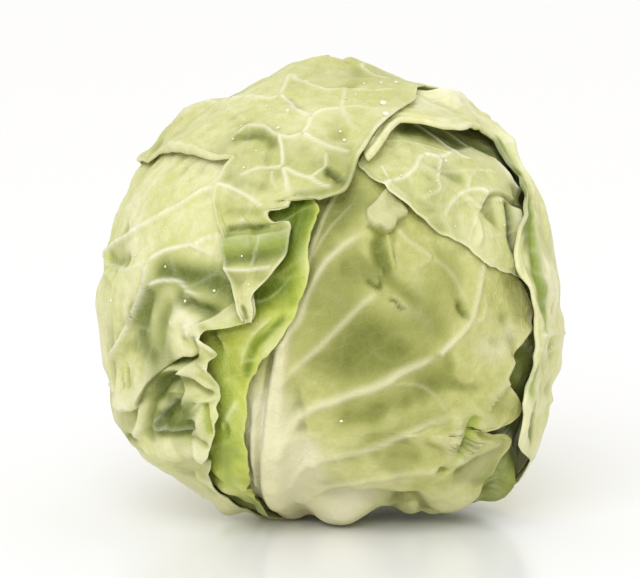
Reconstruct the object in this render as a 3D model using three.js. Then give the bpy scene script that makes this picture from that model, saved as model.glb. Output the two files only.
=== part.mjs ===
// A green cabbage as picked: a tight heart on a cut stem, wrapped in seven broad leaves.
// Millimetres, +Z up, -Y is the front. The origin is the centre of the stem's cut face, which it stands on.
//
// Places on the head are given in degrees, as on a globe about the head's centre: longitude 0 faces the front
// and grows to the right as the front is looked at, latitude 90 is the crown.
import * as THREE from "three";
import { mergeVertices } from "three/addons/utils/BufferGeometryUtils.js";

// Driving dimensions, in millimetres
const CENTRE_HEIGHT = 86;
const HEAD_RADIUS = 87.6;
const LOWER_BULGE = 10.8;
const CROWN_PEAK = 1;
const SHOULDER_DIP = 3;
const HEART_DEPTH = 11;
const HEART_BASE_HEIGHT = 19;
const HEART_LEAF_STEP = 1.4;
const HEART_LEAVES_A_TURN = 3;
const FOOT_CLEARANCE = 1;
const BASE_RISE = 2;
const STEM_RADIUS = 13.4;
const STEM_EDGE = 0.8;
const LEAF_THICKNESS = 1.1;
const LEAF_CLEARANCE = 0.7;
const SIDE_RIB_HEIGHT = 2.5;
const SIDE_RIB_HALF_WIDTH = 0.5;
const LEAST_ROLL_RADIUS = 0.9;
const BASE_ROLL_TURN = 50;
const WAVES_A_SCALLOP = 1.4;

// How finely the surfaces are divided
const HEART_SEGMENTS = 26;
const HEART_RINGS = 18;
const STEM_SIDES = 20;
const MAP_ROWS = 150;
const SAMPLE_SPACING = 1.3;
const DRAPE_PASSES = 14;
const RIB_GROUP = 4;
const COLUMN_CROWDING = 0.09;

const DEGREE = Math.PI / 180;

// The unit vector at a longitude and latitude
function direction([longitude, latitude]) {
  const across = Math.cos(latitude * DEGREE);
  return new THREE.Vector3(
    across * Math.sin(longitude * DEGREE),
    -across * Math.cos(longitude * DEGREE),
    Math.sin(latitude * DEGREE),
  );
}

// A smooth step from 0 at low to 1 at high
function ramp(low, high, x) {
  const t = THREE.MathUtils.clamp((x - low) / (high - low), 0, 1);
  return t * t * (3 - 2 * t);
}

// A bell of height 1 and the given width about a centre
function bell(x, centre, width) {
  return Math.exp(-(((x - centre) / width) ** 2));
}

// Reads evenly spaced values at t from 0 to 1, as a smooth curve through them
function profile(values, t) {
  const x = THREE.MathUtils.clamp(t, 0, 1) * (values.length - 1);
  const i = Math.min(Math.floor(x), values.length - 2);
  const f = x - i;
  const [a, b, c, d] = [i - 1, i, i + 1, i + 2].map(
    (k) => values[THREE.MathUtils.clamp(k, 0, values.length - 1)],
  );
  return b + 0.5 * f * (c - a + f * (2 * a - 5 * b + 4 * c - d + f * (3 * (b - c) + d - a)));
}

// The size of the whole head, as the distance from its centre: round above, fuller low down at the sides,
// lower on the right than on the left, and cut off level a little above the foot
function headRadius(d) {
  const latitude = Math.asin(THREE.MathUtils.clamp(d.z, -1, 1)) / DEGREE;
  const sideways = d.x / Math.max(0.01, Math.hypot(d.x, d.y));
  const low = bell(latitude, -39 - 7 * sideways, 17 + 6 * sideways);
  const bulge = (0.35 + 0.65 * Math.abs(sideways)) * low;
  const crown = CROWN_PEAK * bell(latitude, 90, 11) - SHOULDER_DIP * bell(latitude, 67, 13);
  const round = HEAD_RADIUS + LOWER_BULGE * bulge + crown;
  return Math.min(round, (CENTRE_HEIGHT - FOOT_CLEARANCE) / Math.max(0.01, -d.z));
}

// The heart's surface, as the distance from the head's centre
function heartRadius(d) {
  // The heart's own leaves end in steps that wind up over it
  const turn = HEART_LEAVES_A_TURN * (Math.atan2(d.x, -d.y) / (2 * Math.PI) + 0.9 * d.z);
  const saw = turn - Math.floor(turn);
  const step = HEART_LEAF_STEP * (saw < 0.85 ? saw / 0.85 : (1 - saw) / 0.15) * (1 - d.z * d.z);
  const base = (CENTRE_HEIGHT - HEART_BASE_HEIGHT) / Math.max(0.01, -d.z);
  return Math.min(headRadius(d) - HEART_DEPTH + step, base);
}

// How far out from the centre the head already reaches, kept in cells of equal size all round it
class ReachMap {
  constructor(rows) {
    this.rows = rows;
    this.starts = [0];
    this.counts = [];
    for (let row = 0; row < rows; row++) {
      const columns = Math.max(4, Math.round(2 * rows * Math.sin((Math.PI * (row + 0.5)) / rows)));
      this.counts.push(columns);
      this.starts.push(this.starts[row] + columns);
    }
    this.reach = new Float64Array(this.starts[rows]);
  }

  // The cell that holds a direction, moved by whole rows and columns
  cell(d, rowShift = 0, columnShift = 0) {
    const colatitude = Math.acos(THREE.MathUtils.clamp(d.z, -1, 1)) / Math.PI;
    const row = THREE.MathUtils.clamp(Math.floor(colatitude * this.rows) + rowShift, 0, this.rows - 1);
    const columns = this.counts[row];
    const turn = Math.atan2(d.x, -d.y) / (2 * Math.PI) + 1;
    const column = (Math.floor(turn * columns) + columnShift + columns) % columns;
    return this.starts[row] + column;
  }

  fill(radiusAt) {
    for (let row = 0; row < this.rows; row++) {
      for (let column = 0; column < this.counts[row]; column++) {
        const latitude = 90 - ((row + 0.5) / this.rows) * 180;
        const longitude = ((column + 0.5) / this.counts[row]) * 360;
        this.reach[this.starts[row] + column] = radiusAt(direction([longitude, latitude]));
      }
    }
  }

  raise(d, radius) {
    const cell = this.cell(d);
    this.reach[cell] = Math.max(this.reach[cell], radius);
  }

  // The furthest reach in the cell of d and the eight round it
  top(d) {
    let furthest = 0;
    for (const rowShift of [-1, 0, 1]) {
      for (const columnShift of [-1, 0, 1]) {
        furthest = Math.max(furthest, this.reach[this.cell(d, rowShift, columnShift)]);
      }
    }
    return furthest;
  }
}

// A fold or rib drawn over the head along a line of places
class Crease {
  constructor({ line, height, width, fall = 0 }) {
    this.points = line.map(direction);
    this.height = height;
    this.width = width / 90;
    this.fall = fall / 90;
  }

  // How much the crease lifts the surface at d: a ridge, or with a fall a shelf that ends at the line
  lift(d) {
    let nearest = Infinity;
    let along = 0;
    let side = 0;
    const spans = this.points.length - 1;
    const point = new THREE.Vector3();
    for (let i = 0; i < spans; i++) {
      const [a, b] = [this.points[i], this.points[i + 1]];
      const span = b.clone().sub(a);
      const t = THREE.MathUtils.clamp(d.clone().sub(a).dot(span) / span.lengthSq(), 0, 1);
      const away = point.copy(a).addScaledVector(span, t).distanceTo(d);
      if (away < nearest) {
        nearest = away;
        along = (i + t) / spans;
        side = Math.sign(span.cross(d).dot(a));
      }
    }
    const height = this.height * ramp(0, 0.25, along) * ramp(0, 0.25, 1 - along);
    if (!this.fall) return height * bell(nearest, 0, this.width);
    const over = -side * nearest;
    return height * ramp(-this.width, this.width, over) * Math.exp(-Math.max(over, 0) / this.fall);
  }
}

// What a leaf is like where its own entry says nothing
const PLAIN_LEAF = {
  foot: FOOT_CLEARANCE,
  midribHeight: 2.8,
  bow: 0,
  lift: [0],
  edges: {},
  scallop: 0.015,
  waves: 5,
  ruffle: 2,
  phase: 0,
  creases: [],
  rollSteps: 0,
};

// One wrapper leaf. Its surface is read at u from -1 at the left margin to 1 at the right one,
// and at v from 0 at the base to 1 at the tip.
class Leaf {
  constructor(spec) {
    Object.assign(this, PLAIN_LEAF, spec);
    const line = (k) => new THREE.CatmullRomCurve3(this.stations.map((station) => direction(station[k])));
    this.margins = { left: line(0), right: line(2) };
    this.midrib = line(1);
    this.creases = this.creases.map((crease) => new Crease(crease));
  }

  side(u) {
    return u < 0 ? "left" : "right";
  }

  // The direction from the head's centre to the leaf at u, v
  at(u, v) {
    const centre = this.midrib.getPoint(v).normalize();
    const margin = this.margins[this.side(u)].getPoint(v).normalize();
    const ahead = this.midrib.getTangent(v);
    const angle = centre.angleTo(margin);
    const scallop = this.scallop * Math.sin(2 * Math.PI * WAVES_A_SCALLOP * this.waves * v + this.phase);
    const across = Math.abs(u) * (1 + scallop);
    const rise = Math.tan(4 * this.bow * DEGREE * across * (1 - across) * Math.sin(Math.PI * v));
    return centre
      .multiplyScalar(Math.sin((1 - across) * angle))
      .addScaledVector(margin, Math.sin(across * angle))
      .divideScalar(Math.sin(angle))
      .addScaledVector(ahead, rise)
      .normalize();
  }

  // How far the surface stands off the plain head: looseness, waves and crests by the margin, and creases
  shape(u, v, d) {
    const across = Math.abs(u);
    const edge = this.edges[this.side(u)] ?? {};
    const wave = 0.5 + 0.5 * Math.sin(2 * Math.PI * this.waves * v + this.phase + 2 * u);
    const near = Math.max(ramp(0.55, 1, across), ramp(0.85, 1, v)) * ramp(0.04, 0.25, v);
    const lift = profile(this.lift, v) + profile(edge.lift ?? [0, 0], v) * across ** 4;
    const crest = profile(edge.crest ?? [0, 0], v) * bell(across, 0.9, 0.09);
    const creased = this.creases.reduce((sum, crease) => sum + crease.lift(d), 0);
    return lift + crest + this.ruffle * near * wave + creased;
  }

  // The height of the ribs on the outer face: the midrib, and side ribs on the middle row of each group
  rib(column, row) {
    const middle = this.grid.columns / 2;
    const v = this.rowAt(row);
    if (column === middle) return THREE.MathUtils.lerp(this.midribHeight, 0.5, v);
    const across = Math.abs(column - middle) / middle;
    const onRib = row % RIB_GROUP === 2 && row < this.grid.rows - 1 && across < 1;
    return onRib ? SIDE_RIB_HEIGHT * (1 - across ** 2) * (1 - 0.5 * v) : 0;
  }

  // Where a row lies from base to tip. Rows are spaced evenly along the midrib, but close up round each rib.
  rowAt(row) {
    const place = row % RIB_GROUP;
    const shift = place === 1 || place === 3 ? (2 - place) * (1 - SIDE_RIB_HALF_WIDTH) : 0;
    return this.midrib.getUtoTmapping(THREE.MathUtils.clamp((row + shift) / this.grid.rows, 0, 1));
  }

  // Where a column lies from margin to margin. Columns are closer together by the midrib and the margins.
  columnAt(column) {
    const x = (2 * column) / this.grid.columns - 1;
    return x - COLUMN_CROWDING * Math.sin(2 * Math.PI * x);
  }
}

// Lays a leaf over what is already there, and gives its two faces as grids of points.
// Wherever a facet comes too close to what it lies on, its corners are pushed further out.
function drape(leaf, map) {
  const { columns, rows } = leaf.grid;
  const thick = (column, row) => LEAF_THICKNESS + leaf.rib(column, row);
  const cells = [];
  for (let row = 0; row <= rows; row++) {
    cells.push([]);
    for (let column = 0; column <= columns; column++) {
      const [u, v] = [leaf.columnAt(column), leaf.rowAt(row)];
      const d = leaf.at(u, v);
      const footHeight = leaf.foot + BASE_RISE * (1 - ramp(0, 0.08, v));
      const foot = (CENTRE_HEIGHT - footHeight - thick(column, row)) / Math.max(0.01, -d.z);
      const free = headRadius(d) - leaf.depth - LEAF_THICKNESS + leaf.shape(u, v, d);
      cells[row].push({ d, radius: Math.min(free, foot) });
    }
  }
  for (let pass = 0; ; pass++) {
    const inner = cells.map((line) => line.map(({ d, radius }) => d.clone().multiplyScalar(radius)));
    rollMargins(leaf, inner);
    const outer = inner.map((line, row) =>
      line.map((point, column) =>
        point.clone().addScaledVector(normalAt(inner, row, column), thick(column - leaf.rollSteps, row)),
      ),
    );
    const push = cells.map((line) => line.map(() => 0));
    for (const face of [inner, outer]) {
      sampleFacets(face, (point, corners) => {
        const radius = point.length();
        const short = map.top(point.divideScalar(radius)) + LEAF_CLEARANCE - radius;
        if (short <= 0) return;
        for (const [row, column] of corners) {
          const own = THREE.MathUtils.clamp(column - leaf.rollSteps, 0, columns);
          push[row][own] = Math.max(push[row][own], short);
        }
      });
    }
    if (pass === DRAPE_PASSES || !push.flat().some((amount) => amount > 0)) return { inner, outer };
    cells.forEach((line, row) => line.forEach((cell, column) => (cell.radius += push[row][column])));
  }
}

// Calls visit with points spaced evenly over every facet of a grid, and the facet's corners
function sampleFacets(points, visit) {
  for (let row = 0; row < points.length - 1; row++) {
    for (let column = 0; column < points[0].length - 1; column++) {
      for (const corners of facets(row, column)) {
        const [a, b, c] = corners.map(([i, j]) => points[i][j]);
        const longest = Math.max(a.distanceTo(b), b.distanceTo(c), c.distanceTo(a));
        const steps = Math.ceil(longest / SAMPLE_SPACING);
        for (let i = 0; i <= steps; i++) {
          for (let j = 0; j <= steps - i; j++) {
            const point = a.clone().multiplyScalar((steps - i - j) / steps);
            point.addScaledVector(b, i / steps).addScaledVector(c, j / steps);
            visit(point, corners);
          }
        }
      }
    }
  }
}

// The two triangles of a grid's square, as grid places, the same way on both faces of a leaf
function facets(row, column) {
  const [a, b] = [[row, column], [row, column + 1]];
  const [c, d] = [[row + 1, column + 1], [row + 1, column]];
  return (row + column) % 2 ? [[a, b, c], [a, c, d]] : [[a, b, d], [b, c, d]];
}

// The outward normal of a grid of points
function normalAt(points, row, column) {
  const [rows, columns] = [points.length - 1, points[0].length - 1];
  const up = points[Math.min(row + 1, rows)][column]
    .clone()
    .sub(points[Math.max(row - 1, 0)][column]);
  const across = points[row][Math.min(column + 1, columns)]
    .clone()
    .sub(points[row][Math.max(column - 1, 0)]);
  return across.cross(up).normalize();
}

// Adds columns at both margins, which turn under with a small radius where the leaf's edges say so
function rollMargins(leaf, points) {
  const last = points[0].length - 1;
  const ends = points.map((line, row) => ({
    left: {
      edge: line[0],
      out: line[0].clone().sub(line[1]).normalize(),
      normal: normalAt(points, row, 0),
    },
    right: {
      edge: line[last],
      out: line[last].clone().sub(line[last - 1]).normalize(),
      normal: normalAt(points, row, last),
    },
  }));
  points.forEach((line, row) => {
    for (const side of ["left", "right"]) {
      const { edge, out, normal } = ends[row][side];
      const v = row / (points.length - 1);
      const { roll = [1, 1], turn = 60 } = leaf.edges[side] ?? {};
      const radius = Math.max(LEAST_ROLL_RADIUS, profile(roll, v));
      const full = THREE.MathUtils.lerp(BASE_ROLL_TURN, turn, ramp(0.1, 0.35, v));
      for (let step = 1; step <= leaf.rollSteps; step++) {
        const angle = ((full * step) / leaf.rollSteps) * DEGREE;
        const point = edge
          .clone()
          .addScaledVector(out, radius * Math.sin(angle))
          .addScaledVector(normal, -radius * (1 - Math.cos(angle)));
        if (side === "left") line.unshift(point);
        else line.push(point);
      }
    }
  });
}

// Closes two like grids of points into one thin body, with each square cut the same way on both faces
function sheetGeometry(inner, outer) {
  const [rows, columns] = [inner.length - 1, inner[0].length - 1];
  const positions = [];
  const index = [];
  for (const face of [inner, outer]) {
    for (const line of face) for (const point of line) positions.push(...point.toArray());
  }
  const id = (face, row, column) => (face * (rows + 1) + row) * (columns + 1) + column;
  for (let row = 0; row < rows; row++) {
    for (let column = 0; column < columns; column++) {
      for (const corners of facets(row, column)) {
        index.push(...corners.map(([i, j]) => id(1, i, j)));
        index.push(...corners.map(([i, j]) => id(0, i, j)).reverse());
      }
    }
  }
  const rim = [];
  for (let column = 0; column < columns; column++) rim.push([0, column]);
  for (let row = 0; row < rows; row++) rim.push([row, columns]);
  for (let column = columns; column > 0; column--) rim.push([rows, column]);
  for (let row = rows; row > 0; row--) rim.push([row, 0]);
  rim.forEach(([row, column], i) => {
    const [nextRow, nextColumn] = rim[(i + 1) % rim.length];
    const [a, b] = [id(0, row, column), id(0, nextRow, nextColumn)];
    const [c, d] = [id(1, nextRow, nextColumn), id(1, row, column)];
    index.push(a, b, c, a, c, d);
  });
  const geometry = new THREE.BufferGeometry();
  geometry.setAttribute("position", new THREE.Float32BufferAttribute(positions, 3));
  geometry.setIndex(index);
  return geometry;
}

// Marks on the map how far out a leaf now reaches
function raiseMap(map, faces) {
  for (const face of faces) {
    sampleFacets(face, (point) => {
      const radius = point.length();
      map.raise(point.divideScalar(radius), radius);
    });
  }
}

// The packed heart: a ball with the steps of its own leaves in its surface
function heartGeometry() {
  const geometry = new THREE.SphereGeometry(1, HEART_SEGMENTS, HEART_RINGS);
  geometry.rotateX(Math.PI / 2);
  geometry.deleteAttribute("normal");
  geometry.deleteAttribute("uv");
  const ball = mergeVertices(geometry);
  const position = ball.getAttribute("position");
  const d = new THREE.Vector3();
  for (let i = 0; i < position.count; i++) {
    d.fromBufferAttribute(position, i).normalize();
    d.multiplyScalar(heartRadius(d));
    position.setXYZ(i, d.x, d.y, d.z);
  }
  return ball;
}

// The leaves, from the innermost to the outermost. The stations run from base to tip, and each one gives
// the places of the left margin, the midrib and the right margin, as seen from outside with the tip up.
// Lifts, crests and rolls are read evenly from base to tip, in millimetres.
const LEAVES = [
  {
    name: "leaf_right_low",
    colour: 0xa9b86a,
    depth: 8,
    stations: [
      [[70, -79.5], [80, -79.5], [92, -79.5]],
      [[56, -64], [82, -66], [108, -64]],
      [[34, -44], [84, -46], [132, -44]],
      [[34, -24], [86, -28], [134, -24]],
      [[38, -4], [86, -8], [130, -4]],
      [[44, 14], [84, 12], [122, 14]],
      [[56, 30], [80, 28], [104, 30]],
      [[68, 40], [78, 42], [88, 40]],
    ],
    ruffle: 2,
    waves: 4,
    creases: [{ line: [[77, -66], [77, -54], [78, -40]], height: 6, width: 12 }],
    grid: { columns: 12, rows: 16 },
  },
  {
    name: "leaf_front",
    colour: 0xc3c88a,
    depth: 6.5,
    foot: 0.8,
    stations: [
      [[-50, -79.5], [-26, -79.5], [8, -79.5]],
      [[-60, -64], [-23.5, -71], [48, -64]],
      [[-70, -48], [-21.5, -61], [75, -46]],
      [[-68, -34], [-19.5, -52], [60, -28]],
      [[-66, -20], [-18, -42], [51, -17]],
      [[-62, -8], [-16.5, -32], [58, -2]],
      [[-56, 4], [-14.5, -16], [50, 12]],
      [[-46, 16], [-11, 2], [42, 26]],
      [[-30, 31], [-4, 21], [34, 40]],
      [[-8, 45], [6, 42], [18, 50]],
    ],
    bow: 7,
    ruffle: 1.2,
    waves: 4,
    midribHeight: 5.5,
    creases: [
      { line: [[-15, -78], [-15, -60], [-11, -45], [-13, -27]], height: -3, width: 5 },
      { line: [[34, -70], [31, -54], [24, -46]], height: -4.5, width: 6 },
      { line: [[6, -80], [5, -70], [6, -52]], height: 9, width: 12 },
      { line: [[9, 27], [13, 28.5], [18, 27]], height: 4, width: 5 },
      { line: [[13.7, 25], [13.8, 17.4], [13.9, 9]], height: -2.5, width: 5 },
      { line: [[39, -36], [38.3, -28], [41, -22]], height: -3, width: 5 },
      { line: [[-17, -34], [0, -20], [13, -14], [27, -7], [38, 6]], height: 1.6, width: 5 },
      { line: [[-17, -50], [-3, -37], [7, -33], [19, -29], [37, -24]], height: 1.2, width: 5 },
    ],
    grid: { columns: 20, rows: 20 },
  },
  {
    name: "leaf_left_front",
    colour: 0xb9c94e,
    depth: 5,
    stations: [
      [[-84, -79.5], [-68, -79.5], [-54, -79.5]],
      [[-84, -66], [-64, -68], [-42, -64]],
      [[-104, -46], [-60, -50], [-30, -44]],
      [[-104, -28], [-58, -34], [-25.5, -30]],
      [[-100, -10], [-56, -16], [-22, -15]],
      [[-92, 8], [-50, 0], [-10, -1]],
      [[-80, 24], [-42, 14], [-6.5, 12]],
      [[-60, 36], [-30, 28], [-4, 26]],
      [[-34, 42], [-22, 41], [-10, 38]],
    ],
    bow: 4,
    ruffle: 2,
    waves: 5,
    edges: { right: { lift: [0, 0, 1, 2, 3, 3, 2.5, 2] } },
    grid: { columns: 12, rows: 16 },
  },
  {
    name: "leaf_right_shoulder",
    colour: 0xcdd18f,
    depth: 4.5,
    foot: 6,
    stations: [
      [[104, -79.5], [114, -79.5], [126, -79.5]],
      [[98, -66], [114, -68], [128, -66]],
      [[70, -38], [112, -42], [150, -42]],
      [[64, -18], [106, -22], [158, -14]],
      [[60, 2], [98, -2], [154, 12]],
      [[52, 7], [86, 18], [148, 38]],
      [[39, 13], [70, 33], [130, 62]],
      [[26, 22.5], [50, 44], [90, 76]],
      [[15, 31], [32, 49], [50, 74]],
      [[8, 41], [14, 50], [20, 60]],
    ],
    bow: 5,
    lift: [0, 0, 0, 0, 0, -1.5, -2, -2, -1, 0],
    ruffle: 1.4,
    waves: 5,
    creases: [
      { line: [[47, 31], [51, 26], [49.3, 18.9], [49.4, 10.8], [52, 2]], height: -3, width: 4.5 },
      { line: [[56, 30], [54.6, 24.4], [54, 17.3], [56, 8.5], [62, -4]], height: 3, width: 4.5 },
      { line: [[66, 26], [64.4, 21.7], [63, 16.3], [66, 2]], height: -2, width: 4.5 },
    ],
    grid: { columns: 18, rows: 20 },
  },
  {
    name: "leaf_left",
    colour: 0xc6cd86,
    depth: 2.5,
    foot: 4,
    stations: [
      [[-132, -79.5], [-118, -79.5], [-100, -79.5]],
      [[-140, -66], [-118, -68], [-84, -64]],
      [[-174, -44], [-115, -48], [-43, -43]],
      [[-176, -26], [-112, -32], [-32, -27]],
      [[-175, -8], [-109, -16], [-31, -16]],
      [[-172, 10], [-106, 0], [-20, 0]],
      [[-166, 28], [-101, 18], [-14, 14]],
      [[-156, 46], [-92, 38], [-14, 30]],
      [[-136, 62], [-74, 57], [-22, 46]],
      [[-100, 68], [-60, 70], [-32, 62]],
    ],
    bow: 6,
    lift: [0, 0, 0, 2, 2.5, 2.5, 1.5, 0, 0, 0],
    ruffle: 3.5,
    waves: 6,
    scallop: 0.035,
    edges: { right: { crest: [0, 3, 5, 5, 5, 3, 1, 0, 0, 0] } },
    creases: [
      {
        line: [[-31, -6], [-38, -8], [-46, -11], [-53, -16], [-61, -22.5], [-84, -29]],
        height: 5,
        width: 4,
        fall: 22,
      },
      { line: [[-79, -38], [-71, -30], [-60, -24], [-53, -18], [-35, -10.6]], height: 2.5, width: 4 },
      { line: [[-62, -30], [-57, -26], [-48, -24], [-39, -24]], height: -6, width: 6 },
      { line: [[-52, -62], [-90, -58], [-130, -58]], height: -6, width: 13 },
      { line: [[-52, 14], [-53.3, 7.5], [-56.3, 0], [-65.7, -10], [-83, -17]], height: 2, width: 4 },
      { line: [[-100, 10], [-88, 11], [-56, 22], [-43, 30], [-37, 33]], height: 1.6, width: 4 },
    ],
    grid: { columns: 20, rows: 24 },
  },
  {
    name: "leaf_right",
    colour: 0xc2cb84,
    depth: 1.5,
    foot: 5,
    stations: [
      [[142, -79.5], [152, -79.5], [164, -79.5]],
      [[134, -66], [150, -68], [162, -67]],
      [[84, -42], [138, -48], [168, -48]],
      [[69, -26], [132, -30], [182, -28]],
      [[61, -8], [128, -12], [194, -6]],
      [[64, 8], [120, 8], [192, 16]],
      [[67, 24], [110, 30], [188, 40]],
      [[60, 42], [92, 51], [180, 62]],
      [[44, 51], [66, 66], [150, 80]],
      [[28, 52], [34, 66], [50, 80]],
      [[10, 44], [11, 52], [12, 62]],
    ],
    bow: 5,
    ruffle: 2,
    waves: 6,
    edges: {
      left: {
        lift: [0, 0, 1, 2, 2, 2, 3, 3, 3, 3, 2],
        roll: [1, 1, 1, 1.5, 2, 2, 3, 4, 4, 3, 2],
        turn: 160,
      },
    },
    rollSteps: 3,
    grid: { columns: 14, rows: 24 },
  },
  {
    name: "leaf_crown",
    colour: 0xc9cf86,
    depth: 0.5,
    midribHeight: 1.7,
    stations: [
      [[170, -79.5], [178, -79.5], [-172, -79.5]],
      [[168, -68], [179, -69], [-169, -68]],
      [[130, -36], [178, -38], [-134, -36]],
      [[124, -14], [178, -16], [-128, -14]],
      [[118, 9], [178, 6], [-120, 8]],
      [[108, 32], [178, 29], [-106, 26]],
      [[92, 54], [176, 53], [-88, 36]],
      [[56, 65], [178, 80], [-70, 43]],
      [[34, 56], [-24, 72], [-52, 41.5]],
      [[14, 50], [-20, 53], [-37, 40]],
      [[6, 39], [-20, 41], [-36, 33]],
      [[-1, 31], [-20, 32], [-32, 24]],
      [[-11, 24], [-21, 21], [-28, 16]],
      [[-12, 17], [-20, 13], [-26.5, 11]],
      [[-15, 11], [-20, 7], [-24, 7]],
      [[-18, 3], [-20, 1], [-22, 2]],
    ],
    bow: 3,
    ruffle: 1.5,
    waves: 7,
    edges: {
      left: { lift: [0, 0, 0.5, 0.5, 0.5, 0.5, 0.5, 0.5, 0.5, 0.5, 0.5, 0.5, 0.5, 0.5, 0.5, 0.5] },
      right: {
        lift: [0, 0, 0.5, 0.5, 0.5, 0.5, 0.5, 0.5, 1, 1, 0.5, 0.5, 0.5, 0.5, 0.5, 0.5],
        roll: [1, 1, 1, 1, 1, 1, 1.5, 2, 2, 2, 1, 1, 1, 1, 1, 1],
        turn: 150,
      },
    },
    creases: [
      { line: [[-32, 18], [-24, 20.6], [-18.2, 21.9], [-9, 22.6]], height: 4, width: 4 },
      { line: [[-31, 15], [-19.4, 16.4], [-10, 17.5]], height: -2.5, width: 4 },
      { line: [[-24, 70], [-13, 68], [4.6, 67], [33, 64], [38, 59]], height: -1.5, width: 4 },
    ],
    rollSteps: 2,
    grid: { columns: 14, rows: 32 },
  },
];

// The cut stem, from its flat foot up to the heart
function stemGeometry() {
  const top = heartRadius(direction([0, -90])) + LEAF_CLEARANCE;
  const height = CENTRE_HEIGHT - top;
  const outline = [
    new THREE.Vector2(0, 0),
    new THREE.Vector2(STEM_RADIUS - STEM_EDGE, 0),
    new THREE.Vector2(STEM_RADIUS, STEM_EDGE),
    new THREE.Vector2(STEM_RADIUS, 0.6 * height),
    new THREE.Vector2(STEM_RADIUS - 2 * STEM_EDGE, height - STEM_EDGE),
    new THREE.Vector2(0, height),
  ];
  const geometry = new THREE.LatheGeometry(outline, STEM_SIDES);
  geometry.rotateX(Math.PI / 2);
  return geometry;
}

function piece(name, geometry, colour, roughness) {
  const material = new THREE.MeshStandardMaterial({ color: colour, roughness, metalness: 0 });
  const mesh = new THREE.Mesh(geometry, material);
  mesh.name = name;
  return mesh;
}

const cabbage = new THREE.Group();
const head = new THREE.Group();
head.position.z = CENTRE_HEIGHT;
cabbage.add(head);
cabbage.add(piece("stem", stemGeometry(), 0xd9dba8, 0.7));
head.add(piece("heart", heartGeometry(), 0xdcdfa6, 0.55));

const map = new ReachMap(MAP_ROWS);
map.fill(heartRadius);
for (const spec of LEAVES) {
  const { inner, outer } = drape(new Leaf(spec), map);
  raiseMap(map, [inner, outer]);
  head.add(piece(spec.name, sheetGeometry(inner, outer), spec.colour, 0.5));
}

export default cabbage;
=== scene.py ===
"""Dresses a whole green cabbage: seven veined wrapper leaves laid over each other on a tight heart.

Sizes are in millimetres. Places are in degrees on the head, as on a globe about the head's centre: longitude
0 faces the front and grows to the right, and latitude 90 is the crown. Only finished meshes are in metres.
"""

from __future__ import annotations

import logging
import math
from collections.abc import Callable
from dataclasses import dataclass, field
from enum import Enum
from typing import Any

import bmesh
import bpy
import numpy as np
from mathutils import Matrix, Vector

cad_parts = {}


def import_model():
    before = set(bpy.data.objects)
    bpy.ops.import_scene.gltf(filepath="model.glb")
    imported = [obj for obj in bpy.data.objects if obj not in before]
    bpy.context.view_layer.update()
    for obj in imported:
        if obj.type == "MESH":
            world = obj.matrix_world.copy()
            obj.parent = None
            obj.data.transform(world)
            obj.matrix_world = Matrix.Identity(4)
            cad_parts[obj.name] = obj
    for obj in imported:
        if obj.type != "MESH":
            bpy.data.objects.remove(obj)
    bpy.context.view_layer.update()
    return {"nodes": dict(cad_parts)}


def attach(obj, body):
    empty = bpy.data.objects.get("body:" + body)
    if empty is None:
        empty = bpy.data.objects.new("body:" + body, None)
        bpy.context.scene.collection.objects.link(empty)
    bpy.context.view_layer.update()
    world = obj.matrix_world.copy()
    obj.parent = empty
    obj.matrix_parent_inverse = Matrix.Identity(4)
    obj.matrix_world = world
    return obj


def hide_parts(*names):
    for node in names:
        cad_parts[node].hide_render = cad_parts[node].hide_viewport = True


LOG = logging.getLogger("cabbage")

Place = tuple[float, float]
Colour = tuple[float, float, float, float]
Array = np.ndarray

MM = 0.001
# The head: a ball that bulges low down, with a small peak on a slightly flattened crown.
CENTRE_HEIGHT = 86.0
HEAD_RADIUS = 87.6
LOWER_BULGE = 10.8
LOWER_BULGE_LATITUDE = -39.0
LOWER_BULGE_SPAN = 17.0
CROWN_PEAK = 1.0
CROWN_SPAN = 11.0
SHOULDER_DIP = 3.0
SHOULDER_LATITUDE = 67.0
SHOULDER_SPAN = 13.0
HEART_DEPTH = 11.0
HEART_BASE_HEIGHT = 19.0
# The leaves: how thick they are, how far they keep from each other and from the floor, and their edges.
LEAF_THICKNESS = 0.8
LEAF_CLEARANCE = 0.35
FOOT_CLEARANCE = 1.0
FLOOR_CLEARANCE = 0.2
BASE_RISE = 2.0
LEAST_ROLL = 0.35
WAVES_A_SCALLOP = 1.4
ROLL_START = 50.0
# The fine veins: the size of the net's meshes and the half width of its lines.
NET_CELL = 13.0
NET_LINE = 0.85
# The lengths of a leaf's soft swells, of its puckers and of the wander of its ribs.
SWELL_LENGTH = 34.0
PUCKER_LENGTH = 8.5
WANDER_LENGTH = 45.0
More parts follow.
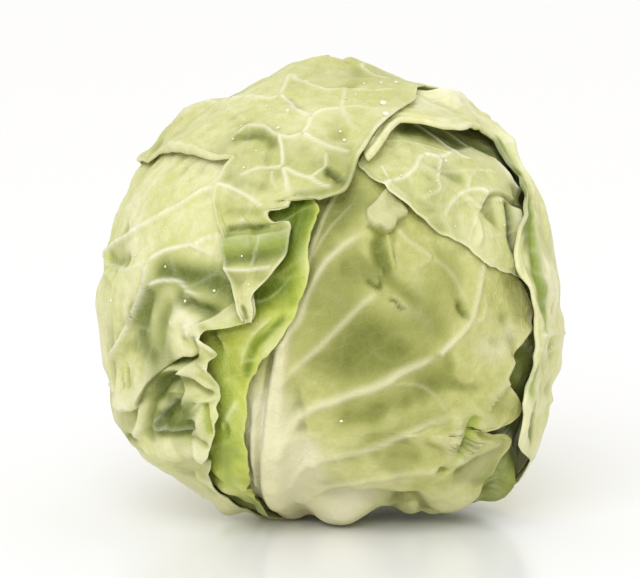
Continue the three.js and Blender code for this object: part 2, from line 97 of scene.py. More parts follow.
# The longitude, latitude and half width in millimetres of each drop of water.
DROP_PLACES = [
    (63.1, 71.7, 0.8), (44.9, 72.5, 0.6), (26.4, 72.0, 0.5), (24.8, 59.6, 1.5), (20.5, 52.8, 1.3),
    (2.8, 50.8, 0.6), (4.0, 47.3, 0.7), (-21.6, 58.2, 0.8), (-21.8, 51.2, 0.7), (-39.8, 51.9, 0.4),
    (-35.3, 60.2, 0.5), (-26.0, 43.0, 0.4), (-27.9, 37.9, 0.5), (-37.4, 46.3, 0.4), (7.1, 63.8, 0.4),
    (14.2, 66.4, 0.4),
    (-19.8, 9.0, 0.4), (-22.3, 15.5, 0.4), (-68.8, 0.6, 0.7), (-58.4, 12.9, 0.4), (-48.4, 20.0, 0.4),
    (-44.8, 11.5, 0.5), (-36.1, 4.2, 0.5), (-29.1, 7.1, 0.6), (30.5, 32.9, 0.4), (42.8, 41.8, 0.6),
    (55.5, 37.1, 0.5), (56.3, 27.9, 0.5), (54.2, 21.7, 0.4), (35.9, 23.2, 0.4), (21.9, 37.6, 0.4),
    (34.2, 35.7, 0.5), (67.0, -5.2, 0.5), (75.4, -11.9, 0.6), (78.0, -0.9, 0.6), (2.3, -26.7, 0.7),
    (42.2, 13.2, 0.3), (150.0, 40.0, 0.6), (172.0, 58.0, 0.5), (-150.0, 48.0, 0.7), (-122.0, 36.0, 0.5),
    (118.0, 44.0, 0.6), (-100.0, 20.0, 0.5), (-140.0, 12.0, 0.4),
]
# The fineness of the work.
MAP_ROWS = 450
CURVE_SAMPLES = 1201
DRAPE_PASSES = 7
DRAPE_SPREAD = 4
ROLL_STEPS = 6
ROW_DENSITY = 2.5


def direction(longitude: Any, latitude: Any) -> Array:
    """Turns longitudes and latitudes in degrees into unit vectors.

    Args:
        longitude: One longitude or an array of them.
        latitude: One latitude or an array of them.

    Returns:
        The unit vectors, in an array with one more axis.
    """
    lon, lat = np.radians(longitude), np.radians(latitude)
    return np.stack([np.cos(lat) * np.sin(lon), -np.cos(lat) * np.cos(lon), np.sin(lat)], axis=-1)


def ramp(low: float, high: float, x: Any) -> Array:
    """A smooth step from 0 at low to 1 at high."""
    t = np.clip((np.asarray(x, float) - low) / (high - low), 0.0, 1.0)
    return t * t * (3.0 - 2.0 * t)


def bell(x: Any, centre: Any, width: Any) -> Array:
    """A bell of height 1 and the given width about a centre."""
    return np.exp(-(((x - centre) / width) ** 2))


def profile(values: list[float], t: Array) -> Array:
    """Reads evenly spaced values at t from 0 to 1, as a smooth curve through them.

    Args:
        values: Two or more values, evenly spaced.
        t: Where to read them.

    Returns:
        The value at each t.
    """
    table = np.asarray(values, float)
    last = len(table) - 1
    x = np.clip(t, 0.0, 1.0) * last
    i = np.minimum(np.floor(x).astype(int), last - 1)
    f = x - i
    a, b, c, d = (table[np.clip(i + k, 0, last)] for k in (-1, 0, 1, 2))
    return b + 0.5 * f * (c - a + f * (2 * a - 5 * b + 4 * c - d + f * (3 * (b - c) + d - a)))


def unit(vectors: Array) -> Array:
    """The same vectors, each with length 1."""
    return vectors / np.maximum(np.linalg.norm(vectors, axis=-1, keepdims=True), 1e-9)


def dot(a: Array, b: Array) -> Array:
    """The dot product of each pair of vectors, with the last axis kept."""
    return np.sum(a * b, axis=-1, keepdims=True)


def ridge(away: Array, width: Any, sharpness: float) -> Array:
    """The section of a vein: a sharp ridge on a foot three times as wide."""
    return sharpness * bell(away, 0.0, width) + (1.0 - sharpness) * bell(away, 0.0, 3.0 * width)


def blurred(grid: Array, reach: int, rounds: int = 2) -> Array:
    """A grid of values averaged over a square of cells round each one.

    Args:
        grid: The values.
        reach: How many cells each way are averaged.
        rounds: How often the average is taken.

    Returns:
        The smoothed grid.
    """
    span = 2 * reach + 1
    for _ in range(rounds):
        for axis in (0, 1):
            margins = [(reach + 1, reach) if k == axis else (0, 0) for k in (0, 1)]
            total = np.cumsum(np.pad(grid, margins, mode="edge"), axis=axis)
            ahead = np.take(total, range(span, total.shape[axis]), axis=axis)
            behind = np.take(total, range(total.shape[axis] - span), axis=axis)
            grid = (ahead - behind) / span
    return grid


def blurred_vectors(grid: Array, reach: int) -> Array:
    """A grid of vectors with each part smoothed."""
    return np.stack([blurred(grid[..., k], reach, 1) for k in range(3)], axis=-1)


def blurred_line(line: Array, reach: int) -> Array:
    """A row of vectors smoothed along its length.

    Args:
        line: The vectors, one to a row.
        reach: How many rows each way are averaged.

    Returns:
        The smoothed vectors.
    """
    span = 2 * reach + 1
    weights = np.ones(span) / span
    padded = np.pad(line, ((reach, reach), (0, 0)), mode="edge")
    return np.stack([np.convolve(padded[:, k], weights, mode="valid") for k in range(3)], axis=-1)


def spread(grid: Array, reach: int) -> Array:
    """Gives each cell of a grid the largest value near it.

    Args:
        grid: The values.
        reach: How many cells each way are looked at.

    Returns:
        The grid of the largest values.
    """
    for axis in (0, 1):
        margins = [(reach, reach) if k == axis else (0, 0) for k in (0, 1)]
        padded = np.pad(grid, margins, mode="edge")
        grid = np.lib.stride_tricks.sliding_window_view(padded, 2 * reach + 1, axis=axis).max(axis=-1)
    return grid


def head_radius(d: Array) -> Array:
    """How far the whole head reaches from its centre.

    Args:
        d: Unit vectors.

    Returns:
        The reach along each of them, in millimetres.
    """
    latitude = np.degrees(np.arcsin(np.clip(d[..., 2], -1.0, 1.0)))
    sideways = d[..., 0] / np.maximum(0.01, np.hypot(d[..., 0], d[..., 1]))
    low = bell(latitude, LOWER_BULGE_LATITUDE - 7.0 * sideways, LOWER_BULGE_SPAN + 6.0 * sideways)
    bulge = (0.35 + 0.65 * np.abs(sideways)) * low
    peak = CROWN_PEAK * bell(latitude, 90.0, CROWN_SPAN)
    crown = peak - SHOULDER_DIP * bell(latitude, SHOULDER_LATITUDE, SHOULDER_SPAN)
    level = (CENTRE_HEIGHT - FOOT_CLEARANCE) / np.maximum(0.01, -d[..., 2])
    return np.minimum(HEAD_RADIUS + LOWER_BULGE * bulge + crown, level)


def heart_radius(d: Array) -> Array:
    """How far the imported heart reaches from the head's centre, in the directions d."""
    base = (CENTRE_HEIGHT - HEART_BASE_HEIGHT) / np.maximum(0.01, -d[..., 2])
    return np.minimum(head_radius(d) - HEART_DEPTH, base)


class Undulation:
    """A smooth random field over the head, the same on every run."""

    TERMS = 18

    def __init__(self, seed: int, wavelength: float) -> None:
        """Draws the waves that the field is made of.

        Args:
            seed: Which field.
            wavelength: The typical size of its swells, in millimetres.
        """
        rng = np.random.default_rng(seed)
        spin = unit(rng.normal(size=(self.TERMS, 3)))
        turns = 2.0 * math.pi * HEAD_RADIUS / wavelength
        self.waves = spin * turns * rng.uniform(0.6, 1.3, (self.TERMS, 1))
        self.phases = rng.uniform(0.0, 2.0 * math.pi, self.TERMS)

    def at(self, d: Array) -> Array:
        """Reads the field.

        Args:
            d: Unit vectors.

        Returns:
            Its value along each, mostly between -1 and 1.
        """
        total = np.zeros(d.shape[:-1])
        for wave, phase in zip(self.waves, self.phases):
            total += np.sin(d @ wave + phase)
        return total * 1.4 / math.sqrt(len(self.phases))


class Curve:
    """A smooth line through points, read at t from 0 to 1."""

    def __init__(self, points: Array) -> None:
        """Works out the slopes of the line at its points.

        Args:
            points: The points, one to a row.
        """
        ahead = 2.0 * points[-1] - points[-2]
        behind = 2.0 * points[0] - points[1]
        full = np.vstack([behind, points, ahead])
        gaps = np.maximum(np.linalg.norm(np.diff(full, axis=0), axis=1), 1e-6) ** 0.5
        self.points = points
        before, here, after = gaps[:-2, None], gaps[1:-1, None], gaps[2:, None]
        step = np.diff(full, axis=0)
        first, middle, last = step[:-2], step[1:-1], step[2:]
        both = full[2:] - full[:-2]
        self.leaving = here * (first / before - both[:-1] / (before + here) + middle / here)
        self.arriving = here * (middle / here - both[1:] / (here + after) + last / after)

    def at(self, t: Array) -> Array:
        """Reads the line.

        Args:
            t: Where, from 0 to 1.

        Returns:
            The point at each t.
        """
        last = len(self.points) - 1
        x = np.clip(t, 0.0, 1.0) * last
        i = np.minimum(np.floor(x).astype(int), last - 1)
        f = (x - i)[..., None]
        start, end = self.points[i], self.points[i + 1]
        leaving, arriving = self.leaving[i], self.arriving[i]
        square = -3.0 * start + 3.0 * end - 2.0 * leaving - arriving
        cube = 2.0 * start - 2.0 * end + leaving + arriving
        return start + f * (leaving + f * (square + f * cube))

    def tangent(self, t: Array) -> Array:
        """The unit direction of the line at t."""
        return unit(self.at(np.minimum(t + 1e-4, 1.0)) - self.at(np.maximum(t - 1e-4, 0.0)))

    def spaced(self, count: int, dense: tuple[float, float], density: float) -> tuple[Array, Array]:
        """Cuts the line in short lengths, which are equal apart from one denser stretch.

        Args:
            count: How many lengths there are.
            dense: Where the denser stretch starts and ends, as shares of the line's length.
            density: How many times as close the cuts stand there.

        Returns:
            The values of t at the cuts, and the share of the line's length that each has travelled.
        """
        fine = np.linspace(0.0, 1.0, CURVE_SAMPLES)
        lengths = np.linalg.norm(np.diff(self.at(fine), axis=0), axis=1)
        travelled = np.concatenate([[0.0], np.cumsum(lengths)])
        travelled /= travelled[-1]
        weight = 1.0 + (density - 1.0) * ((fine > dense[0]) & (fine < dense[1]))
        crowd = np.cumsum(weight) - weight[0]
        cuts = np.interp(np.linspace(0.0, crowd[-1], count + 1), crowd, fine)
        return np.interp(cuts, travelled, fine), cuts


class Trace:
    """A line drawn over the head, which tells how near places are to it."""

    POINTS_A_SPAN = 5

    def __init__(self, line: list[Place]) -> None:
        """Rounds the line off between the places given.

        Args:
            line: Longitudes and latitudes.
        """
        corners = np.array([direction(*place) for place in line])
        t = np.linspace(0.0, 1.0, self.POINTS_A_SPAN * (len(line) - 1) + 1)
        self.points = unit(Curve(corners).at(t)) if len(line) > 2 else unit(corners)

    def near(self, d: Array, reach: float) -> tuple[Array, Array, Array, Array, Array]:
        """Finds the places within reach of the line.

        Args:
            d: Unit vectors, one to a row.
            reach: How far from the line places count, in millimetres.

        Returns:
            The rows within reach, and for each its distance in millimetres, how far along the line it is
            from 0 to 1, on which side it is (1 on the left), and the sideways direction to the left.
        """
        limit = reach / HEAD_RADIUS
        middle = unit(self.points.mean(axis=0))
        widest = np.linalg.norm(self.points - middle, axis=1).max()
        rows = np.nonzero(np.linalg.norm(d - middle, axis=1) < widest + limit)[0]
        best = np.full(len(rows), np.inf)
        along = np.zeros(len(rows))
        side = np.ones(len(rows))
        left = np.zeros((len(rows), 3))
        spans = len(self.points) - 1
        for i in range(spans):
            a, b = self.points[i], self.points[i + 1]
            span = b - a
            offset = d[rows] - a
            t = np.clip(offset @ span / (span @ span), 0.0, 1.0)
            away = np.linalg.norm(offset - t[:, None] * span, axis=1)
            closer = away < best
            best[closer] = away[closer]
            along[closer] = (i + t[closer]) / spans
            across = np.cross(a, span)
            across /= np.linalg.norm(across)
            side[closer] = np.where(offset[closer] @ across < 0.0, -1.0, 1.0)
            left[closer] = across
        keep = best < limit
        return rows[keep], best[keep] * HEAD_RADIUS, along[keep], side[keep], left[keep]


@dataclass(frozen=True)
class Crease:
    """A fold in a leaf: a ridge, a groove, or with a fall a shelf that ends at the line.

    Attributes:
        line: The places that the fold runs through. A shelf is raised on the right of it.
        height: How far it rises, in millimetres, negative for a groove.
        width: Its half width, in millimetres.
        fall: How far the raised part reaches back from the line, in millimetres.
        lean: How far the crest leans over to the left of the line, in millimetres.
        ends: The share of the length over which each end fades out.
    """

    line: list[Place]
    height: float
    width: float
    fall: float = 0.0
    lean: float = 0.0
    ends: float = 0.25

    def apply(self, d: Array, lift: Array, shift: Array) -> None:
        """Adds the fold to a leaf.

        Args:
            d: Unit vectors, one to a row.
            lift: How far each place is lifted, which is added to.
            shift: How far each place is moved sideways, which is added to.
        """
        reach = 3.0 * self.width + 3.0 * self.fall
        rows, away, along, side, left = Trace(self.line).near(d, reach)
        fade = ramp(0.0, self.ends, along) * ramp(0.0, self.ends, 1.0 - along)
        if self.fall:
            over = -side * away
            form = ramp(-self.width, self.width, over) * np.exp(-np.maximum(over, 0.0) / self.fall)
            crest = bell(over, self.width, 1.6 * self.width)
        else:
            form = bell(away, 0.0, self.width)
            crest = form
        lift[rows] += self.height * fade * form
        shift[rows] += (self.lean * fade * crest)[:, None] * left


@dataclass(frozen=True)
class Vein:
    """One raised vein.

    Attributes:
        line: The places it runs through, from its root to its end.
        width: Its half width at the root, in millimetres.
        height: Its height at the root, in millimetres.
        paleness: How pale it is at the root, from 0 to 1.
        end: What is left of it at the end, as a share.
    """

    line: list[Place]
    width: float = 1.1
    height: float = 0.7
    paleness: float = 0.9
    end: float = 0.35

    def apply(self, d: Array, lift: Array, pale: Array) -> None:
        """Adds the vein to a leaf.

        Args:
            d: Unit vectors, one to a row.
            lift: How far each place is lifted, which is added to.
            pale: How much each place is vein, which is raised to the vein's.
        """
        rows, away, along, _, _ = Trace(self.line).near(d, 6.0 * self.width)
        left = 1.0 - (1.0 - self.end) * along
        fade = left * ramp(0.0, 0.06, along) * ramp(0.0, 0.12, 1.0 - along)
        width = self.width * (0.45 + 0.55 * left)
        lift[rows] += self.height * fade * ridge(away, width, 0.75)
        pale[rows] = np.maximum(pale[rows], self.paleness * fade * bell(away, 0.0, width))


class Tint(Enum):
    """What a painted patch does to the leaf's colour: painted shade, paler tissue or fresher young green."""

    # Painted shade in hollows, creases and gaps, and under folds.
    DEEP = "deep"
    PALE = "pale"
    FRESH = "fresh"


@dataclass(frozen=True)
class Patch:
    """A soft patch of colour along a line, most often painted shade.

    Attributes:
        line: The places it runs through.
        width: Its half width, in millimetres.
        amount: How strong it is, from 0 to 1.
        tint: Which colour it has.
    """

    line: list[Place]
    width: float
    amount: float
    tint: Tint = Tint.DEEP

    def apply(self, d: Array, tints: dict[str, Array]) -> None:
        """Adds the patch to a leaf.

        Args:
            d: Unit vectors, one to a row.
            tints: The strength of each tint at each place, which is added to.
        """
        rows, away, _, _, _ = Trace(self.line).near(d, 2.6 * self.width)
        target = tints[self.tint.value]
        target[rows] = 1.0 - (1.0 - target[rows]) * (1.0 - self.amount * bell(away, 0.0, self.width))


@dataclass(frozen=True)
class Ribs:
    """The side veins of a leaf, which branch off its midrib in turn to either side.

    Attributes:
        count: How many there are to a side from base to tip.
        rise: How far a vein climbs from the midrib to the margin, as a share of the leaf.
        first: Where they start, as a share of the leaf.
        last: Where they end.
        left: How strong they are on the left half.
        right: How strong they are on the right half.
        width: The half width at the midrib, in millimetres.
        height: The height at the midrib, in millimetres.
    """

    count: float = 9.0
    rise: float = 0.22
    first: float = 0.1
    last: float = 0.92
    left: float = 1.0
    right: float = 1.0
    width: float = 1.3
    height: float = 0.9


@dataclass(frozen=True)
class Edge:
    """How one margin of a leaf lies, read evenly from base to tip, in millimetres.

    Attributes:
        lift: How far the margin stands off.
        roll: The radius with which the margin turns under.
        turn: How far it turns under, in degrees.
        frill: How high its ruffles are.
        frills: How many ruffles it has.
    """

    lift: list[float] = field(default_factory=lambda: [0.0, 0.0])
    roll: list[float] = field(default_factory=lambda: [0.5, 0.5])
    turn: float = 70.0
    frill: list[float] = field(default_factory=lambda: [0.0, 0.0])
    frills: float = 11.0


class ReachMap:
    """How far out from the centre the head already reaches, in cells of latitude and longitude."""

    def __init__(self, rows: int, radius: Callable[[Array], Array]) -> None:
        """Fills the map.

        Args:
            rows: How many rows of cells there are from pole to pole.
            radius: A function that gives the reach in each direction.
        """
        self.rows = rows
        self.columns = 2 * rows
        latitude = 90.0 - (np.arange(rows) + 0.5) * 180.0 / rows
        longitude = (np.arange(self.columns) + 0.5) * 360.0 / self.columns
        lon, lat = np.meshgrid(longitude, latitude)
        self.reach = radius(direction(lon, lat))
        stretch = 1.0 / np.maximum(np.cos(np.radians(latitude)), 1e-3)
        self.windows = np.minimum(np.ceil(stretch).astype(int), rows // 2)

    def cells(self, d: Array) -> tuple[Array, Array]:
        """Finds the cell that holds each direction.

        Args:
            d: Unit vectors.

        Returns:
            The row and the column of each cell.
        """
        row = np.arccos(np.clip(d[..., 2], -1.0, 1.0)) / math.pi * self.rows
        turn = np.arctan2(d[..., 0], -d[..., 1]) / (2.0 * math.pi)
        column = np.floor(turn * self.columns).astype(int) % self.columns
        return np.minimum(row.astype(int), self.rows - 1), column

    def top(self, d: Array) -> Array:
        """The reach in the cell of each direction."""
        return self.reach[self.cells(d)]

    def lay(self, points: Array) -> None:
        """Raises the map to the faces of a leaf.

        Args:
            points: The leaf's points in millimetres from the centre, as a grid.
        """
        middles = [points, 0.5 * (points[1:] + points[:-1]), 0.5 * (points[:, 1:] + points[:, :-1])]
        fresh = np.zeros_like(self.reach)
        for grid in middles:
            flat = grid.reshape(-1, 3)
            radius = np.linalg.norm(flat, axis=1)
            np.maximum.at(fresh, self.cells(flat / radius[:, None]), radius)
        fresh = np.maximum(fresh, np.maximum(np.roll(fresh, 1, axis=1), np.roll(fresh, -1, axis=1)))
        for row, window in enumerate(self.windows):
            if window > 1:
                wrapped = np.pad(fresh[row], window, mode="wrap")
                fresh[row] = np.lib.stride_tricks.sliding_window_view(wrapped, 2 * window + 1).max(axis=1)
        above, below = np.vstack([fresh[:1], fresh[:-1]]), np.vstack([fresh[1:], fresh[-1:]])
        self.reach = np.maximum(self.reach, np.maximum(fresh, np.maximum(above, below)))


class VeinNet:
    """The fine net of veins between the side veins: the borders between cells round scattered points."""

    GOLDEN_TURN = 137.50776
    SCATTER = 0.28
    BATCH = 8192

    def __init__(self, seed: int, cell: float) -> None:
        """Scatters the points.

        Args:
            seed: Which net.
            cell: The size of its meshes, in millimetres.
        """
        rng = np.random.default_rng(seed)
        count = int(4.0 * math.pi * (HEAD_RADIUS / cell) ** 2)
        index = np.arange(count) + 0.5
        latitude = np.degrees(np.arcsin(1.0 - 2.0 * index / count))
        scatter = rng.normal(scale=self.SCATTER * cell / HEAD_RADIUS, size=(count, 3))
        self.points = unit(direction(index * self.GOLDEN_TURN, latitude) + scatter)
        self.keys = rng.uniform(0.0, 1.0, count)

    def at(self, d: Array) -> tuple[Array, Array]:
        """Finds the net near the places d.

        Args:
            d: Unit vectors, one to a row.

        Returns:
            The distance to the nearest border in millimetres, and that border's own strength from 0 to 1.
        """
        away = np.empty(len(d))
        strength = np.empty(len(d))
        for start in range(0, len(d), self.BATCH):
            part = slice(start, start + self.BATCH)
            closeness = d[part] @ self.points.T
            nearest = np.argpartition(-closeness, 1, axis=1)[:, :2]
            pair = np.take_along_axis(closeness, nearest, axis=1)
            order = np.argsort(-pair, axis=1)
            nearest = np.take_along_axis(nearest, order, axis=1)
            pair = np.take_along_axis(pair, order, axis=1)
            apart = np.linalg.norm(self.points[nearest[:, 0]] - self.points[nearest[:, 1]], axis=1)
            away[part] = (pair[:, 0] - pair[:, 1]) / apart * HEAD_RADIUS
            mixed = self.keys[nearest[:, 0]] + self.keys[nearest[:, 1]]
            strength[part] = np.abs(np.sin(37.0 * mixed))
        return away, strength


class Wire:
    """A value in a material's nodes, which Python's operators work on."""

    def __init__(self, shader: Shader, socket: Any) -> None:
        """Keeps a socket and the shader that it is in."""
        self.shader = shader
        self.socket = socket

    def _math(self, operation: str, first: Any, second: Any) -> Wire:
        """Adds a Math node."""
        return self.shader.node("ShaderNodeMath", {"operation": operation}, {0: first, 1: second})

    def __add__(self, other: Any) -> Wire:
        """Adds."""
        return self._math("ADD", self, other)

    __radd__ = __add__

    def __sub__(self, other: Any) -> Wire:
        """Takes away."""
        return self._math("SUBTRACT", self, other)

    def __rsub__(self, other: Any) -> Wire:
        """Is taken away."""
        return self._math("SUBTRACT", other, self)

    def __mul__(self, other: Any) -> Wire:
        """Multiplies."""
        return self._math("MULTIPLY", self, other)

    __rmul__ = __mul__

    def stepped(self, low: float, high: float) -> Wire:
        """A smooth step from 0 at low to 1 at high."""
        inputs = {"Value": self, "From Min": low, "From Max": high, "To Min": 0.0, "To Max": 1.0}
        return self.shader.node("ShaderNodeMapRange", {"interpolation_type": "SMOOTHSTEP"}, inputs)


class Shader:
    """Builds the nodes of one material."""

    # The numbers of the colour sockets of a Mix node, and of an Attribute node's value.
    MIX_FIRST = 6
    MIX_SECOND = 7
    MIX_RESULT = 2
    ATTRIBUTE_VALUE = 2

    def __init__(self, name: str) -> None:
        """Starts a material with its Principled shader.

        Args:
            name: The material's name.
        """
        self.material = bpy.data.materials.new(name)
        self.material.use_nodes = True
        self.tree = self.material.node_tree
        self.principled = self.tree.nodes["Principled BSDF"]

    def node(self, kind: str, settings: dict[str, Any], inputs: dict[Any, Any], output: Any = 0) -> Wire:
        """Adds one node.

        Args:
            kind: The node's type.
            settings: What is set on the node itself.
            inputs: Values or wires for its sockets, by name or number.
            output: The output that is wanted, by name or number.

        Returns:
            A wire from that output.
        """
        made = self.tree.nodes.new(kind)
        for key, value in settings.items():
            setattr(made, key, value)
        for key, value in inputs.items():
            self.feed(made.inputs[key], value)
        return Wire(self, made.outputs[output])

    def feed(self, socket: Any, value: Any) -> None:
        """Sets a socket, or links it to a wire.

        Args:
            socket: The input socket.
            value: A plain value or a wire.
        """
        if isinstance(value, Wire):
            self.tree.links.new(value.socket, socket)
        else:
            socket.default_value = value

    def set(self, **inputs: Any) -> None:
        """Sets or links sockets of the Principled shader, named with underscores for spaces."""
        for key, value in inputs.items():
            self.feed(self.principled.inputs[key.replace("_", " ")], value)

    def place(self) -> Wire:
        """Where on the piece the surface is, in metres."""
        return self.node("ShaderNodeTexCoord", {}, {}, "Object")

    def attribute(self, name: str) -> Wire:
        """Reads one of the mesh's own values."""
        return self.node("ShaderNodeAttribute", {"attribute_name": name}, {}, self.ATTRIBUTE_VALUE)

    def mix(self, factor: Any, first: Any, second: Any) -> Wire:
        """Mixes two colours."""
        inputs = {0: factor, self.MIX_FIRST: first, self.MIX_SECOND: second}
        return self.node("ShaderNodeMix", {"data_type": "RGBA"}, inputs, self.MIX_RESULT)

    def noise(self, place: Wire, scale: float, detail: float, roughness: float = 0.5) -> Wire:
        """Soft noise at a scale in cells per metre."""
        inputs = {"Vector": place, "Scale": scale, "Detail": detail, "Roughness": roughness}
        return self.node("ShaderNodeTexNoise", {}, inputs)

    def bump(self, height: Wire, distance: float, strength: float) -> None:
        """Lets a height shade the surface."""
        inputs = {"Height": height, "Distance": distance, "Strength": strength}
        self.set(Normal=self.node("ShaderNodeBump", {}, inputs))


def rgb(red: int, green: int, blue: int) -> Colour:
    """Turns a colour as on a screen into Blender's linear values.

    Args:
        red: Its red part, from 0 to 255.
        green: Its green part.
        blue: Its blue part.

    Returns:
        The linear colour, fully opaque.
    """
    parts = []
    for part in (red, green, blue):
        share = part / 255.0
        parts.append(share / 12.92 if share <= 0.04045 else ((share + 0.055) / 1.055) ** 2.4)
    return (parts[0], parts[1], parts[2], 1.0)


@dataclass(frozen=True)
class LeafFinish:
    """The living surface of a leaf: waxy green blade, pale veins, a net of fine veins, painted shade in its
    hollows and a painted highlight on its margin and raised places.

    Attributes:
        name: The material's name.
        light: The blade where it is palest.
        green: The blade where it is greenest; painted shade also turns the blade towards it.
        vein: The veins, and the painted highlight along the margin.
        deep: Painted shade in hollows, creases and gaps, and under folds.
        pale: The pale stalk end and other pale tissue, and the painted highlight on raised places.
        fresh: Young tissue by the margins.
        roughness: How matte the blade is.
        swell_cells: How many broad blotches of green a metre holds.
        mottle_cells: How many small ones.
        grain_cells: How many pores.
        net_cells: How many meshes of the finest veins.
    """

    name: str
    light: Colour = rgb(226, 228, 172)
    green: Colour = rgb(205, 211, 142)
    vein: Colour = rgb(240, 238, 204)
    deep: Colour = rgb(128, 138, 66)
    pale: Colour = rgb(238, 234, 208)
    fresh: Colour = rgb(186, 200, 92)
    roughness: float = 0.5
    swell_cells: float = 38.0
    mottle_cells: float = 260.0
    grain_cells: float = 1500.0
    net_cells: float = 230.0

    def material(self) -> bpy.types.Material:
        """Makes the material.

        Returns:
            The finished material.
        """
        shader = Shader(self.name)
        place = shader.place()
        swells = shader.noise(place, self.swell_cells, 2.0)
        mottle = shader.noise(place, self.mottle_cells, 4.0, 0.6)
        grain = shader.noise(place, self.grain_cells, 2.0)
        blade = shader.mix((swells * 0.8 + mottle * 0.5 - 0.15).stepped(0.25, 0.75), self.green, self.light)
        meshes = {"Vector": place, "Scale": self.net_cells}
        border = shader.node("ShaderNodeTexVoronoi", {"feature": "DISTANCE_TO_EDGE"}, meshes)
        net = 1.0 - border.stepped(0.0, 0.12)
        # Painted shade: first the blade is turned greener, then darkened towards the shade colour.
        shade = shader.attribute("deep")
        colour = shader.mix(shade.stepped(0.0, 0.6), blade, self.green)
        colour = shader.mix(shade * 0.88, colour, self.deep)
        colour = shader.mix(shader.attribute("fresh") * 0.9, colour, self.fresh)
        # The pale stalk end and pale tissue, together with a painted highlight on raised places.
        colour = shader.mix(shader.attribute("pale"), colour, self.pale)
        colour = shader.mix(net * mottle * 0.08, colour, self.vein)
        colour = shader.mix(shader.attribute("vein"), colour, self.vein)
        # A painted highlight along the margin, in the vein colour.
        colour = shader.mix(shader.attribute("edge") * 0.25, colour, self.vein)
        shader.set(Base_Color=colour)
        shader.set(Roughness=mottle * 0.2 + (self.roughness - 0.1))
        shader.set(Subsurface_Weight=0.12, Subsurface_Radius=(0.6, 0.9, 0.25), Subsurface_Scale=0.0025)
        shader.set(Specular_IOR_Level=0.22, Sheen_Weight=0.02, Sheen_Roughness=0.4)
        shader.bump(net * 0.15 + mottle * 0.9 + grain * 0.25, 0.001, 0.6)
        return shader.material


def placed(name: str, shape: bmesh.types.BMesh, material: bpy.types.Material) -> bpy.types.Object:
    """Puts a finished shape in the scene.

    Args:
        name: The name of its object and mesh.
        shape: The shape, which is used up.
        material: Its material.

    Returns:
        The new object, shaded smooth.
    """
    for face in shape.faces:
        face.smooth = True
    mesh = bpy.data.meshes.new(name)
    shape.to_mesh(mesh)
    shape.free()
    mesh.materials.append(material)
    piece = bpy.data.objects.new(name, mesh)
    bpy.context.scene.collection.objects.link(piece)
    return piece


